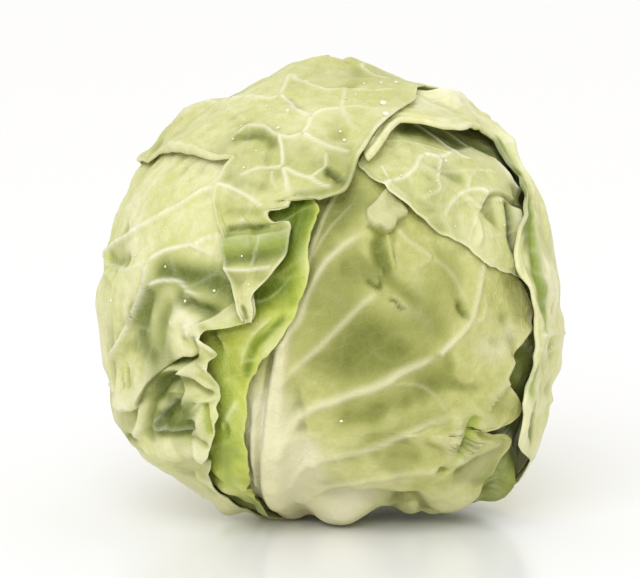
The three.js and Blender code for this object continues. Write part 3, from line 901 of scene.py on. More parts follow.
@dataclass
class WrapperLeaf:
    """One wrapper leaf, laid over the head from its base at the stem to its tip.

    Attributes:
        name: The frame's node that the leaf stands for.
        stations: Lines across the leaf from base to tip, each with the places of its left margin, midrib and
            right margin.
        depth: How far under the head's outer surface it lies, in millimetres.
        columns: How many squares there are across it.
        rows: How many squares there are along it.
        dense: The stretch along the leaf where the rows stand closer, as shares of its length.
        left_share: The share of the squares across that lies left of the midrib.
        finish: Its surface.
        slot: A material slot name for the leaf; it is not used.
        foot: How far its lowest part stays above the floor, in millimetres.
        bow: How far its middle is carried towards the tip, in degrees.
        lift: How loose it is from base to tip, in millimetres.
        scallop: The waves of its outline, as a share of its half width.
        waves: How many waves its margins have.
        ruffle: How high they are, in millimetres.
        teeth: How rough the margins are.
        left: How its left margin lies.
        right: How its right margin lies.
        midrib_height: The midrib's height at the base, in millimetres.
        midrib_width: The midrib's half width at the base, in millimetres.
        midrib_pale: How far along the leaf the midrib stays pale.
        creases: Its folds.
        veins: Its veins that have a place of their own.
        ribs: Its other side veins.
        net: How strong its net of fine veins is.
        patches: Its patches of colour, most of them painted shade.
        swell: The height of its soft swells, in millimetres.
        hollow_shade: How much painted shade darkens its hollows, as a share.
        pucker: The height of its small puckers, in millimetres.
        seed: Which random field it has.
    """

    name: str
    stations: list[tuple[Place, Place, Place]]
    depth: float
    columns: int
    rows: int
    finish: LeafFinish
    dense: tuple[float, float] = (0.0, 0.0)
    left_share: float = 0.5
    slot: str = "outer_leaf"
    foot: float = FOOT_CLEARANCE
    bow: float = 0.0
    lift: list[float] = field(default_factory=lambda: [0.0, 0.0])
    scallop: float = 0.015
    waves: float = 5.0
    ruffle: float = 2.0
    teeth: float = 0.5
    left: Edge = field(default_factory=Edge)
    right: Edge = field(default_factory=Edge)
    midrib_height: float = 2.6
    midrib_width: float = 3.2
    midrib_pale: float = 0.6
    creases: list[Crease] = field(default_factory=list)
    veins: list[Vein] = field(default_factory=list)
    ribs: Ribs = field(default_factory=Ribs)
    net: float = 1.0
    patches: list[Patch] = field(default_factory=list)
    swell: float = 0.5
    hollow_shade: float = 1.0
    pucker: float = 0.16
    seed: int = 1

    def __post_init__(self) -> None:
        """Lays out the grid of the leaf and where its places are on the head."""
        lines = np.array([[direction(*place) for place in station] for station in self.stations])
        margin_left, self.midrib, margin_right = (Curve(lines[:, k]) for k in range(3))
        self.t, along = self.midrib.spaced(self.rows, self.dense, ROW_DENSITY)
        on_left = round(self.columns * self.left_share)
        left_half = np.linspace(-1.0, 0.0, on_left + 1)
        right_half = np.linspace(0.0, 1.0, self.columns - on_left + 1)[1:]
        even = np.concatenate([left_half, right_half])
        crowded = even - 0.06 * np.sin(2.0 * math.pi * even)
        self.u = np.broadcast_to(crowded, (self.rows + 1, self.columns + 1))
        self.v = np.broadcast_to(along[:, None], self.u.shape)
        centre = unit(self.midrib.at(self.t))[:, None, :]
        left = unit(margin_left.at(self.t))[:, None, :]
        right = unit(margin_right.at(self.t))[:, None, :]
        margin = np.where(self.u[..., None] < 0.0, left, right)
        angle = np.arccos(np.clip(dot(centre, margin), -1.0, 1.0))
        rng = np.random.default_rng(100 + self.seed)
        tooth = self.teeth * self._teeth(rng)
        scallop = self.scallop * np.sin(2.0 * math.pi * WAVES_A_SCALLOP * self.waves * self.v)
        across = np.abs(self.u) * (1.0 + scallop)
        wobble = tooth / (HEAD_RADIUS * np.maximum(angle[..., 0], 0.05))
        across = across + wobble * ramp(0.8, 1.0, np.abs(self.u)) * ramp(0.02, 0.1, self.v)
        bow = np.radians(4.0 * self.bow * across * (1.0 - across) * np.sin(math.pi * self.v))
        part = across[..., None]
        ahead = self.midrib.tangent(self.t)[:, None, :]
        on_arc = (centre * np.sin((1.0 - part) * angle) + margin * np.sin(part * angle)) / np.sin(angle)
        self.d = unit(on_arc + ahead * np.tan(bow)[..., None])
        self.across = across
        self.half_width = angle[..., 0] * HEAD_RADIUS

    def _teeth(self, rng: np.random.Generator) -> Array:
        """Draws the small irregular steps of both margins.

        Args:
            rng: Where the random numbers come from.

        Returns:
            How far out each point stands for them, in millimetres.
        """
        v = self.v[:, 0]
        sides = []
        for _ in range(2):
            line = np.zeros_like(v)
            for waves, height in ((7.0, 0.7), (13.0, 0.45), (24.0, 0.35), (43.0, 0.22)):
                turns = 2.0 * math.pi * waves * v * rng.uniform(0.85, 1.15)
                line += height * np.sin(turns + rng.uniform(0.0, 6.28))
            sides.append(line)
        return np.where(self.u < 0.0, sides[0][:, None], sides[1][:, None])

    def _shape(self) -> tuple[Array, Array]:
        """Adds up everything that lifts or shifts the leaf off the plain head.

        Returns:
            The lift in millimetres of each point, and its sideways shift.
        """
        size = np.abs(self.u)
        wave = 0.5 + 0.5 * np.sin(2.0 * math.pi * self.waves * self.v + 2.0 * self.u)
        near = np.maximum(ramp(0.55, 1.0, size), ramp(0.85, 1.0, self.v)) * ramp(0.04, 0.25, self.v)
        lift = profile(self.lift, self.v) + self.ruffle * near * wave
        for edge, side in ((self.left, self.u < 0.0), (self.right, self.u >= 0.0)):
            stand = profile(edge.lift, self.v) * self.across ** 4
            curl = np.sin(2.0 * math.pi * edge.frills * self.v + 1.3 * np.sin(9.0 * self.v))
            frill = profile(edge.frill, self.v) * curl * ramp(0.72, 1.0, size)
            lift += np.where(side, stand + frill, 0.0)
        settled = ramp(0.0, 0.15, self.v)
        lift += self.swell * settled * Undulation(self.seed, SWELL_LENGTH).at(self.d)
        lift += self.pucker * settled * Undulation(self.seed + 50, PUCKER_LENGTH).at(self.d)
        shift = np.zeros_like(self.d)
        flat_lift, flat_shift = lift.reshape(-1), shift.reshape(-1, 3)
        flat_d = self.d.reshape(-1, 3)
        for crease in self.creases:
            crease.apply(flat_d, flat_lift, flat_shift)
        return flat_lift.reshape(lift.shape), flat_shift.reshape(shift.shape)

    def _relief(self) -> tuple[Array, Array]:
        """Draws the midrib, the veins and the net.

        Returns:
            Their height in millimetres and how pale they are, for each point.
        """
        flat_d = self.d.reshape(-1, 3)
        relief = np.zeros(len(flat_d))
        pale = np.zeros(len(flat_d))
        for vein in self.veins:
            vein.apply(flat_d, relief, pale)
        relief, pale = relief.reshape(self.u.shape), pale.reshape(self.u.shape)
        from_middle = self.across * self.half_width
        width = self.midrib_width * (1.0 - 0.8 * ramp(0.0, 0.9, self.v))
        rib = np.exp(-((from_middle / width) ** 3))
        relief += self.midrib_height * (1.0 - 0.9 * ramp(0.0, 0.95, self.v)) * rib
        pale = np.maximum(pale, rib * (1.0 - ramp(0.5 * self.midrib_pale, 1.2 * self.midrib_pale, self.v)))
        wander = 0.008 * Undulation(self.seed + 20, WANDER_LENGTH).at(self.d)
        length = 2.2 * HEAD_RADIUS
        halves = ((self.u < 0.0, self.ribs.left, 0.0), (self.u >= 0.0, self.ribs.right, 0.5))
        for side, strength, turn in halves:
            root = self.v - self.ribs.rise * self.across ** 0.85 + wander
            phase = root * self.ribs.count + turn
            away = np.abs(phase - np.round(phase)) / self.ribs.count * length * 0.8
            started = ramp(self.ribs.first, self.ribs.first + 0.06, root)
            fade = started * (1.0 - ramp(self.ribs.last - 0.1, self.ribs.last, root))
            fade = fade * (1.0 - 0.75 * self.across) * strength * side
            width = self.ribs.width * (1.0 - 0.55 * self.across)
            relief += self.ribs.height * fade * ridge(away, width, 0.6)
            pale = np.maximum(pale, 0.85 * fade * bell(away, 0.0, width))
        away, strength = VeinNet(self.seed, NET_CELL).at(flat_d)
        away, strength = away.reshape(self.u.shape), strength.reshape(self.u.shape)
        line = self.net * strength * ramp(0.12, 0.35, self.v) * bell(away, 0.0, NET_LINE)
        relief += 0.2 * line
        pale = np.maximum(pale, 0.3 * line)
        return relief, pale

    def _roll_radius(self, edge: Edge) -> Array:
        """The radius with which each row's end turns under, in millimetres."""
        return np.maximum(LEAST_ROLL, profile(edge.roll, self.v[:, 0]))[:, None]

    def _rolled(self, points: Array) -> Array:
        """Adds columns at both margins that turn under.

        Args:
            points: The leaf's face as a grid.

        Returns:
            The wider grid.
        """
        up = blurred_vectors(np.gradient(points, axis=0), 2)
        parts = [points]
        for edge, column, inner, before in ((self.left, 0, 2, True), (self.right, -1, -3, False)):
            out = unit(blurred_line(points[:, column] - points[:, inner], 3))
            along = unit(up[:, column])
            normal = unit(np.cross(along, out) if before else np.cross(out, along))
            radius = self._roll_radius(edge)
            full = ROLL_START + (edge.turn - ROLL_START) * ramp(0.1, 0.35, self.v[:, 0])
            strips = []
            for step in range(1, ROLL_STEPS + 1):
                angle = np.radians(full * step / ROLL_STEPS)[:, None]
                sideways = out * radius * np.sin(angle)
                under = normal * radius * (1.0 - np.cos(angle))
                strips.append(points[:, column] + sideways - under)
            strip = np.stack(strips[::-1] if before else strips, axis=1)
            parts = [strip, *parts] if before else [*parts, strip]
        return np.concatenate(parts, axis=1)

    def drape(self, reach: ReachMap) -> Array:
        """Lays the leaf over what is already there.

        Args:
            reach: The map of the head so far, which the leaf is then added to.

        Returns:
            The points of its outer face, in millimetres from the head's centre.
        """
        lift, shift = self._shape()
        relief, self.pale_veins = self._relief()
        foot_height = self.foot + BASE_RISE * (1.0 - ramp(0.0, 0.08, self.v))
        foot = (CENTRE_HEIGHT - foot_height) / np.maximum(0.01, -self.d[..., 2])
        free = head_radius(self.d) - self.depth - LEAF_THICKNESS + lift
        radius = np.minimum(free, foot - LEAF_THICKNESS - relief)
        pushed = np.zeros_like(radius)
        for _ in range(DRAPE_PASSES):
            inner = self._rolled(self.d * (radius + pushed)[..., None] + shift)
            far = np.linalg.norm(inner, axis=-1)
            short = reach.top(inner / far[..., None]) + LEAF_CLEARANCE - far
            own = short[:, ROLL_STEPS:-ROLL_STEPS].copy()
            own[:, 0] = np.maximum(own[:, 0], short[:, :ROLL_STEPS].max(axis=1))
            own[:, -1] = np.maximum(own[:, -1], short[:, -ROLL_STEPS:].max(axis=1))
            own = np.maximum(own, 0.0)
            if own.max() < 0.05:
                break
            pushed += blurred(spread(own, DRAPE_SPREAD), DRAPE_SPREAD // 2)
        self.height = radius + pushed - head_radius(self.d)
        outer = self._rolled(self.d * (radius + pushed + LEAF_THICKNESS + relief)[..., None] + shift)
        outer[..., 2] = np.maximum(outer[..., 2], FLOOR_CLEARANCE - CENTRE_HEIGHT)
        reach.lay(outer)
        return outer

    def _tints(self) -> dict[str, Array]:
        """Works out the colour values of each point, painted shade and painted highlights among them.

        Returns:
            A grid for each value, by its name.
        """
        flat_d = self.d.reshape(-1, 3)
        tints = {tint.value: np.zeros(len(flat_d)) for tint in Tint}
        for patch in self.patches:
            patch.apply(flat_d, tints)
        grids = {name: values.reshape(self.u.shape) for name, values in tints.items()}
        # Painted shade in the hollows of the leaf's own relief, and a painted highlight on its raised
        # places.
        for reach, share in ((4, 0.5), (14, 0.35)):
            below = blurred(self.height, reach) - self.height
            hollow = self.hollow_shade * share * ramp(0.12, 1.3, below) * ramp(0.05, 0.2, self.v)
            grids["deep"] = 1.0 - (1.0 - grids["deep"]) * (1.0 - hollow)
            grids["pale"] = np.maximum(grids["pale"], 0.3 * ramp(0.3, 2.5, -below) * (1.0 - grids["deep"]))
        # A painted highlight along both margins, weaker where a margin rolls wide.
        from_margin = np.maximum(0.0, 1.0 - np.abs(self.u)) * self.half_width
        grids["edge"] = bell(from_margin, 0.0, 0.6) * ramp(0.05, 0.2, self.v)
        grids["vein"] = self.pale_veins
        base = (1.0 - ramp(0.0, 0.3, self.v)) * (1.0 - 0.5 * self.across)
        grids["pale"] = np.maximum(grids["pale"], 0.6 * base)
        margins = ((0, 0), (ROLL_STEPS, ROLL_STEPS))
        wide = {name: np.pad(grid, margins, mode="edge") for name, grid in grids.items()}
        for edge, columns in ((self.left, slice(0, ROLL_STEPS)), (self.right, slice(-ROLL_STEPS, None))):
            wide["edge"][:, columns] *= np.minimum(1.0, 0.6 / self._roll_radius(edge))
        return wide

    def build(self, reach: ReachMap) -> bpy.types.Object:
        """Makes the leaf and dresses it.

        Args:
            reach: The map of the head so far.

        Returns:
            The finished piece.
        """
        points = self.drape(reach) * MM + np.array([0.0, 0.0, CENTRE_HEIGHT * MM])
        rows, columns = points.shape[0] - 1, points.shape[1] - 1
        sheet = bmesh.new()
        bmesh.ops.create_grid(sheet, x_segments=columns, y_segments=rows, size=1.0)
        cells = []
        for vert in sheet.verts:
            row = round((vert.co.y + 1.0) / 2.0 * rows)
            column = round((vert.co.x + 1.0) / 2.0 * columns)
            vert.co = points[row, column]
            cells.append((row, column))
        piece = placed(self.name + "_skin", sheet, self.finish.material())
        row_index, column_index = np.array(cells).T
        for name, grid in self._tints().items():
            layer = piece.data.attributes.new(name, "FLOAT", "POINT")
            layer.data.foreach_set("value", grid[row_index, column_index].astype(np.float32))
        thick = piece.modifiers.new("thickness", "SOLIDIFY")
        thick.thickness = LEAF_THICKNESS * MM
        thick.offset = -1.0
        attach(piece, "root")
        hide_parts(self.name)
        return piece


def right_low_leaf() -> WrapperLeaf:
    """The low leaf on the right, whose lobes show under the others.

    Returns:
        The leaf.
    """
    stations = [
        ((70, -79.5), (80, -79.5), (92, -79.5)),
        ((56, -64), (82, -66), (108, -64)),
        ((34, -44), (84, -46), (132, -44)),
        ((34, -24), (86, -28), (134, -24)),
        ((38, -4), (86, -8), (130, -4)),
        ((44, 14), (84, 12), (122, 14)),
        ((56, 30), (80, 28), (104, 30)),
        ((68, 40), (78, 42), (88, 40)),
    ]
    creases = [
        Crease([(60, -64), (68, -58), (76, -48), (78, -38)], 10, 12),
        Crease([(62, -26), (66, -14), (64, -2)], 3.5, 8),
        Crease([(60, -24), (62, -14), (60, -4)], 1.6, 1.2),
        Crease([(66, -20), (68, -12), (66, -2)], 1.4, 1.2),
        Crease([(64, -62), (70, -50), (71, -44)], -3, 3),
        Crease([(83, -56), (76, -49), (70, -41)], 3, 2.5),
    ]
    return WrapperLeaf(
        name="leaf_right_low",
        stations=stations,
        depth=8.0,
        columns=72,
        rows=100,
        # Its dark colours, the stalk end too, are partly its own deeper outer green and partly painted shade
        # for where it lies under the others.
        finish=LeafFinish(
            "low_leaf", light=rgb(156, 166, 78), green=rgb(120, 132, 50), deep=rgb(66, 78, 20),
            pale=rgb(150, 158, 78),
        ),
        waves=4.0,
        ribs=Ribs(count=7.0),
        creases=creases,
        seed=11,
    )


def front_leaf() -> WrapperLeaf:
    """The open front leaf with the thick white midrib.

    Returns:
        The leaf.
    """
    scar_rim = [(14.8, 22.6), (15.3, 19.6), (15.8, 16.3), (16.3, 12.9)]
    lower_tear = [(14.6, 5.6), (16.1, 5), (16.8, 3.7), (17.9, 3.2)]
    right_nick = [(34.1, 3.9), (35, 1.3), (36.6, -0.3)]
    stations = [
        ((-64, -79.5), (-54, -79.5), (0, -79.5)),
        ((-62, -72), (-43, -73), (44, -70)),
        ((-60, -62), (-32, -63), (60, -62)),
        ((-58, -54), (-26.3, -56.5), (60, -54.5)),
        ((-58, -46), (-23, -50.5), (57.4, -46.8)),
        ((-58, -40), (-20.8, -46), (60.8, -42.6)),
        ((-58, -36), (-19.6, -43), (60.2, -38)),
        ((-57, -32), (-19, -40.5), (61.6, -35)),
        ((-57, -29), (-18.5, -38.5), (60, -33.2)),
        ((-56, -26), (-18.1, -37), (54, -31.6)),
        ((-56, -24), (-17.8, -35.5), (46, -30.6)),
        ((-56, -22), (-17.5, -34.2), (45, -29.4)),
        ((-56, -20), (-17.3, -33), (50, -28.8)),
        ((-55, -18), (-17, -31.5), (55, -28)),
        ((-55, -15), (-16.7, -29.5), (58.4, -26)),
        ((-54, -12), (-16.4, -27.5), (56.4, -22.8)),
        ((-54, -9), (-16.1, -25.3), (52.4, -19.2)),
        ((-53, -6), (-15.8, -22.8), (50.4, -17)),
        ((-52, -3), (-15.4, -19.5), (53, -12.6)),
        ((-51, 0), (-14.8, -15.7), (55.4, -9)),
        ((-49, 4), (-13.8, -10.2), (58.2, -4.8)),
        ((-46, 8), (-12.6, -5), (61.4, -0.4)),
        ((-43, 13), (-11.1, 0.8), (60, 5)),
        ((-38, 20), (-9, 9), (52, 14)),
        ((-30, 31), (-5, 21), (36, 34)),
        ((-10, 45), (5, 42), (18, 50)),
    ]
    creases = [
        Crease([(-11, -60), (-8.6, -45), (-9, -27), (-9.6, -12)], -1.5, 2.2),
        Crease([(-15, -4), (-16.8, -12.3), (-18.2, -18.5), (-19.6, -24.5), (-20.8, -30.7), (-23, -38),
            (-28.8, -49.4), (-40, -62)], -3.2, 1.1, ends=0.15),
        Crease([(-21.6, -18), (-22.7, -29.5), (-26.8, -43.4), (-36, -56)], 1.6, 1.2, ends=0.2),
        Crease([(-30, -64), (-22, -50), (-18.5, -40)], 2.5, 5.5, ends=0.3),
        Crease([(8, -80), (6, -72), (6, -56)], 9, 12),
        Crease([(-32, -40), (-39, -50), (-46, -58), (-52, -66)], 4.5, 6, ends=0.2),
        Crease([(48, -68), (33, -57), (29.5, -50.5)], -4.5, 3.6),
        Crease([(56, -62), (43, -57), (31, -50.5)], -3.5, 3.2),
        Crease([(38, -68), (46, -62), (52, -54), (54, -44)], 6.5, 10),
        Crease([(54, -12), (52.6, -15), (51.1, -17.4), (49, -19.4), (47, -22.4), (45, -25)],
            2.4, 0.9, 7, 0.6, 0.1),
        Crease([(41.6, -24.6), (40.8, -28.1), (39.3, -31.9), (37.2, -35.4)], -3.6, 2.6, ends=0.15),
        Crease([(36.4, -24), (35.7, -28.5), (35.2, -33.2), (36, -38.5)], 1.8, 1.6),
        Crease([(43.4, -31), (42.6, -32.4), (41, -34.2), (39.2, -36.6), (37.8, -39.4)], 1.8, 1.8),
        Crease([(33.5, -40.8), (35.5, -40.2), (38, -41.2)], -2.2, 1.5),
        Crease([(41, -40.6), (43, -41.4), (45, -40.8)], -1.2, 1.2),
        Crease([(23, 28), (19.6, 27), (17.6, 25.8), (16.4, 23.8), (15.2, 23), (13.6, 24.2), (11.8, 24.8),
            (10.2, 26.2), (10, 28.6), (12.4, 30.4), (15, 32.8), (18, 35)], 2.8, 0.7, 10, 0.9, 0.06),
        Crease([(12.4, 23), (12.4, 18.8), (13.4, 15.2), (14.6, 11)], -2, 3),
        Crease(scar_rim, 1.6, 0.55, ends=0.1),
        Crease([(17, 22.4), (16.6, 19), (16.6, 14)], -0.8, 0.8),
        Crease([(12.3, 9.5), (12.7, 12.1), (13.3, 14.7)], 1.4, 0.9),
        Crease([(9.1, 10.7), (10.2, 9.6), (12.3, 8.4)], -1.2, 0.7, ends=0.1),
        Crease([(12.4, 11.6), (12.3, 8.4)], -1.1, 0.6, ends=0.1),
        Crease(lower_tear, -1.1, 0.6, ends=0.1),
        Crease([(12.7, 7.9), (16.4, 5.2), (20.3, 2.5), (24.4, -0.8), (29, -5.3)], 1, 2.4),
        Crease(right_nick, -1.6, 1.4),
        Crease([(4.6, -6.1), (10.3, -2.8), (13.9, -6.5)], -1.4, 6),
        Crease([(0, 14), (6, 14), (10, 16)], -1.2, 6),
        Crease([(0, -12), (10, -10), (20, -6)], -0.8, 6),
        Crease([(4, -27), (20, -22), (33, -15)], -1.2, 5),
        Crease([(56, -14), (58, -8), (60, -3)], 1.5, 4),
    ]
    veins = [
        Vein([(-11, -29), (-11, -40), (-10, -56), (-10, -72)], 6, 1.5, 0.75, 1),
        Vein([(-15.5, -36), (-13.8, -31.8), (-11.8, -28.4), (-8.8, -24.9), (-4.6, -22.3), (0.8, -20.9),
            (6.4, -18.9), (11.9, -16.9), (17.3, -13.8), (21.5, -12.3), (25.4, -10.8), (29.4, -8.7)],
            2.2, 2, 1, 0.62),
        Vein([(28, -9.6), (29.4, -8.7), (32.6, -5.8), (35.9, -2.7), (38.5, 0.6), (39.7, 4.3), (41.3, 7.9),
            (43, 11.9), (44, 15)], 1.5, 1.4, 0.95, 0.6),
        Vein([(38.6, -1.2), (41.7, -1), (42.7, 2.5), (42.7, 6)], 1, 0.8, 0.7),
        Vein([(-16, -50), (-10.9, -42), (-3.7, -37.8), (3.9, -35.8), (11.3, -34.4), (19.6, -30.7),
            (27.5, -27.2), (36.3, -24.5)], 2, 1.8, 0.95, 0.45),
        Vein([(-20, -62), (-10.6, -56.9), (3.1, -49.8), (13.3, -45.4), (23.1, -43.3), (30.4, -40.8),
            (35, -39.4)], 2, 1.6, 0.8, 0.5),
        Vein([(-13.4, -7), (-11.2, -3), (-8.8, 0.5), (-6.9, 6.8), (-4.4, 11.9), (-1.3, 16.3), (3.6, 20.3),
            (10, 23.5)], 1.6, 1.1, 0.8, 0.8),
        Vein([(-14.2, -18), (-11, -13), (-7.3, -9.7), (-3, -5.9), (2, -0.7), (5.8, 3), (9.3, 6),
            (12.7, 7.9)], 1.6, 1, 0.5, 0.9),
        Vein([(-6, 16), (-3.3, 21.1), (-0.6, 24.9), (2.7, 28.5), (6.4, 31.6)], 1, 0.6, 0.4),
        Vein([(17.9, 23.6), (20.3, 20.6), (23.6, 18.4), (26.1, 16.5), (27.2, 15.5)], 1.3, 0.9, 0.5, 0.8),
        Vein([(27.2, 15.5), (23.9, 14.1), (20.8, 12.7)], 1, 0.5, 0.4),
        Vein([(27.2, 15.5), (30.4, 13.8), (33.7, 10.4), (36, 5.1), (37.4, 2)], 1, 0.6, 0.35, 0.8),
        Vein([(14, -16), (19, -16.4), (26, -18.6), (31, -23), (33, -26)], 0.9, 0.5, 0.45),
    ]
    # Painted shade in the tears, grooves and hollows and under the crown leaf's tongue, over a centre that
    # is partly a darker olive of its own; the pale patches are its own pale base, midrib and margin.
    patches = [
        Patch([(-16.2, -9), (-18, -18.5), (-19.6, -25), (-21, -31), (-23.4, -38.4), (-29, -49.4),
            (-38, -60)], 0.9, 0.6),
        Patch([(0, 12), (6, 12), (10, 12)], 7, 0.35),
        Patch([(4.6, -6.1), (10.3, -2.2), (13.9, -6.5)], 7, 0.62),
        Patch([(-4, -10), (6, -12), (18, -10)], 6, 0.4),
        Patch([(-10, 8), (-6, 18), (0, 26), (6, 33)], 5, 0.45),
        Patch([(4, -26), (18, -21), (30, -16)], 6, 0.4),
        Patch([(4, -36), (18, -29), (30, -25)], 4, 0.3),
        Patch([(16.4, 9.1), (19, 7.2), (21.3, 5)], 2.6, 0.45),
        Patch([(24.4, 1), (27.3, -1.7)], 5, 0.3),
        Patch(right_nick, 1.4, 0.6),
        Patch([(-4, 28), (2, 27), (6, 31)], 7, 0.5),
        Patch([(12.8, 22.6), (12.6, 18.8), (13.4, 15.2), (14.6, 11)], 2.8, 0.66),
        Patch(scar_rim, 0.6, 0.5, Tint.FRESH),
        Patch([(-10, 14), (-4, 4), (4, -6), (14, -8), (22, 2)], 16, 0.36),
        Patch([(3, 5), (6, -4), (4, -10)], 8, 0.35),
        Patch([(9.1, 10.7), (10.2, 9.6), (12.3, 8.4), (12.4, 11.6)], 0.7, 0.8),
        Patch(lower_tear, 0.6, 0.8),
        Patch([(10, 24.6), (13.4, 22.2), (16.4, 23.2)], 0.9, 0.8),
        Patch([(-60, -72), (-40, -64), (-26, -52), (-20, -38), (-18, -24)], 9, 0.97, Tint.PALE),
        Patch([(-16, -74), (-2, -64), (10, -58)], 11, 0.8, Tint.PALE),
        Patch([(-16, -56), (-10, -46), (-9, -36)], 7, 0.95, Tint.PALE),
        Patch([(-6, -54), (8, -50), (24, -46)], 5, 0.2, Tint.PALE),
        Patch([(40, -52), (48, -46), (52, -36)], 5, 0.2, Tint.PALE),
        Patch([(42, -8), (47, -10), (52, -6)], 5, 0.35, Tint.PALE),
        Patch([(12.5, 28), (14.6, 27), (17.6, 28)], 3.2, 0.35, Tint.PALE),
        Patch([(60.4, -3), (58.4, -8.3), (54, -13.2), (51.1, -17), (48.6, -20.4)], 1.1, 0.85, Tint.PALE),
        Patch([(41.4, -25.6), (40.8, -28.6), (39.3, -32.4), (37.6, -35)], 2.4, 0.9, Tint.FRESH),
    ]
    return WrapperLeaf(
        name="leaf_front",
        stations=stations,
        depth=6.5,
        columns=196,
        rows=215,
        left_share=0.28,
        finish=LeafFinish(
            "front_leaf_skin", light=rgb(206, 205, 134), green=rgb(175, 177, 94), deep=rgb(92, 102, 22),
            vein=rgb(222, 217, 170), pale=rgb(232, 227, 194),
        ),
        slot="front_leaf",
        foot=0.8,
        bow=6.0,
        ruffle=0.6,
        waves=4.0,
        teeth=0.25,
        midrib_height=7.5,
        midrib_width=7.6,
        midrib_pale=0.95,
        right=Edge(
            lift=[0, 1, 3, 4, 4, 4, 3, 1, 0, 0, 0],
            roll=[0.5, 0.5, 0.6, 1.3, 1.5, 1.3, 0.6, 0.5, 0.5],
        ),
        ribs=Ribs(left=0.4, right=0.0),
        net=0.2,
        pucker=0.2,
        creases=creases,
        veins=veins,
        patches=patches,
        seed=12,
    )


def left_front_leaf() -> WrapperLeaf:
    """The bright leaf that shows between the front leaf and the left one.

    Returns:
        The leaf.
    """
    stations = [
        ((-84, -79.5), (-66, -79.5), (-50, -79.5)),
        ((-86, -66), (-64, -68), (-45, -66)),
        ((-96, -52), (-60, -55), (-34.5, -53)),
        ((-98, -40), (-60, -44), (-27.4, -42)),
        ((-98, -30), (-58.5, -35), (-24.4, -33)),
        ((-97, -22), (-57.5, -28), (-23.6, -26)),
        ((-96, -16), (-56.5, -22), (-23.2, -20)),
        ((-94, -11), (-55.5, -17.5), (-22, -15.8)),
        ((-92, -7), (-54, -13), (-19.2, -12.5)),
        ((-90, -3), (-52, -8.5), (-17.6, -8.3)),
        ((-87, 2), (-49.5, -3.5), (-13.6, -4)),
        ((-84, 8), (-46.5, 2), (-9, 2)),
        ((-80, 15), (-43.5, 8.5), (-7.5, 9)),
        ((-74, 23), (-40, 16), (-6.4, 19)),
        ((-66, 31), (-35, 23.5), (-4.8, 26.5)),
        ((-52, 38), (-29, 30), (-6, 31)),
        ((-34, 42), (-22, 36), (-12, 34)),
    ]
    creases = [
        Crease([(-13.4, 2.4), (-16.9, -0.6), (-19.9, -3.6), (-21.7, -7.1), (-23, -10.6), (-24, -15)],
            2.4, 0.9, 5, 0.6, 0.15),
        Crease([(-31, -1.8), (-29.2, -4.2), (-27.8, -7), (-27.2, -10)], 1.6, 1, ends=0.3),
        Crease([(-29.2, -24), (-29, -27), (-29.8, -29.6)], -1.8, 0.9, ends=0.3),
        Crease([(-24.9, -20), (-25.9, -21), (-28.7, -24.6), (-31, -28.1)], 1.6, 1.6),
        Crease([(-28, -33), (-30, -42), (-34, -50)], 1.8, 4),
        Crease([(-64, -70), (-56, -62), (-49, -53), (-44, -46)], 5, 7, ends=0.2),
        Crease([(-38, -58), (-34, -50), (-30, -44)], 1, 1),
        Crease([(-8, 31), (-9, 26), (-11, 20)], 1.5, 2),
    ]
    veins = [
        Vein([(-24.7, -20.2), (-25.9, -21), (-28.7, -24.6), (-32, -29)], 0.7, 0.4, 0.3),
        Vein([(-24, -10), (-19, -9), (-14, -4)], 0.8, 0.5, 0.5),
        Vein([(-24, 4), (-16, 6), (-10, 12)], 0.7, 0.4, 0.5),
    ]
    # Painted shade where the crown leaf's tongue and the left leaf's ruffled margin overhang this leaf, and
    # along its folds; the fresh band is its greener young tissue.
    patches = [
        Patch([(-18, 24), (-13, 27), (-9, 31)], 4.5, 0.97),
        Patch([(-9, 28), (-10, 20), (-11, 13)], 4, 0.6),
        Patch([(-20, 5), (-16.5, 7.6), (-12.5, 9)], 4.5, 0.9),
        Patch([(-14, 14), (-12, 20)], 3, 0.5),
        Patch([(-14, 17), (-10.6, 22), (-8, 27)], 4, 0.75),
        Patch([(-28, -18), (-29, -22)], 3, 0.3),
        Patch([(-12.4, 1), (-16, -2.6), (-19, -5.6), (-20.8, -9), (-22, -13)], 1.5, 0.7),
        Patch([(-31, -3.4), (-30, -6), (-29.4, -10)], 1.6, 0.5),
        Patch([(-29.2, -24.4), (-29, -27), (-29.8, -29.4)], 1, 0.75),
        Patch([(-28, -30), (-31, -36), (-36, -44)], 3, 0.35),
        Patch([(-29, -10), (-28, -20), (-29, -34), (-36, -44)], 6, 0.55, Tint.FRESH),
    ]
    return WrapperLeaf(
        name="leaf_left_front",
        stations=stations,
        depth=5.0,
        columns=116,
        rows=160,
        finish=LeafFinish(
            "young_leaf", light=rgb(196, 202, 92), green=rgb(164, 177, 56), deep=rgb(80, 104, 18),
            vein=rgb(220, 226, 142),
        ),
        slot="inner_leaf",
        bow=4.0,
        teeth=0.5,
        ruffle=1.2,
        right=Edge(lift=[0, 0, 1, 2, 3, 3, 2.5, 2]),
        ribs=Ribs(count=8.0, right=0.6),
        net=0.5,
        creases=creases,
        veins=veins,
        patches=patches,
        seed=13,
    )


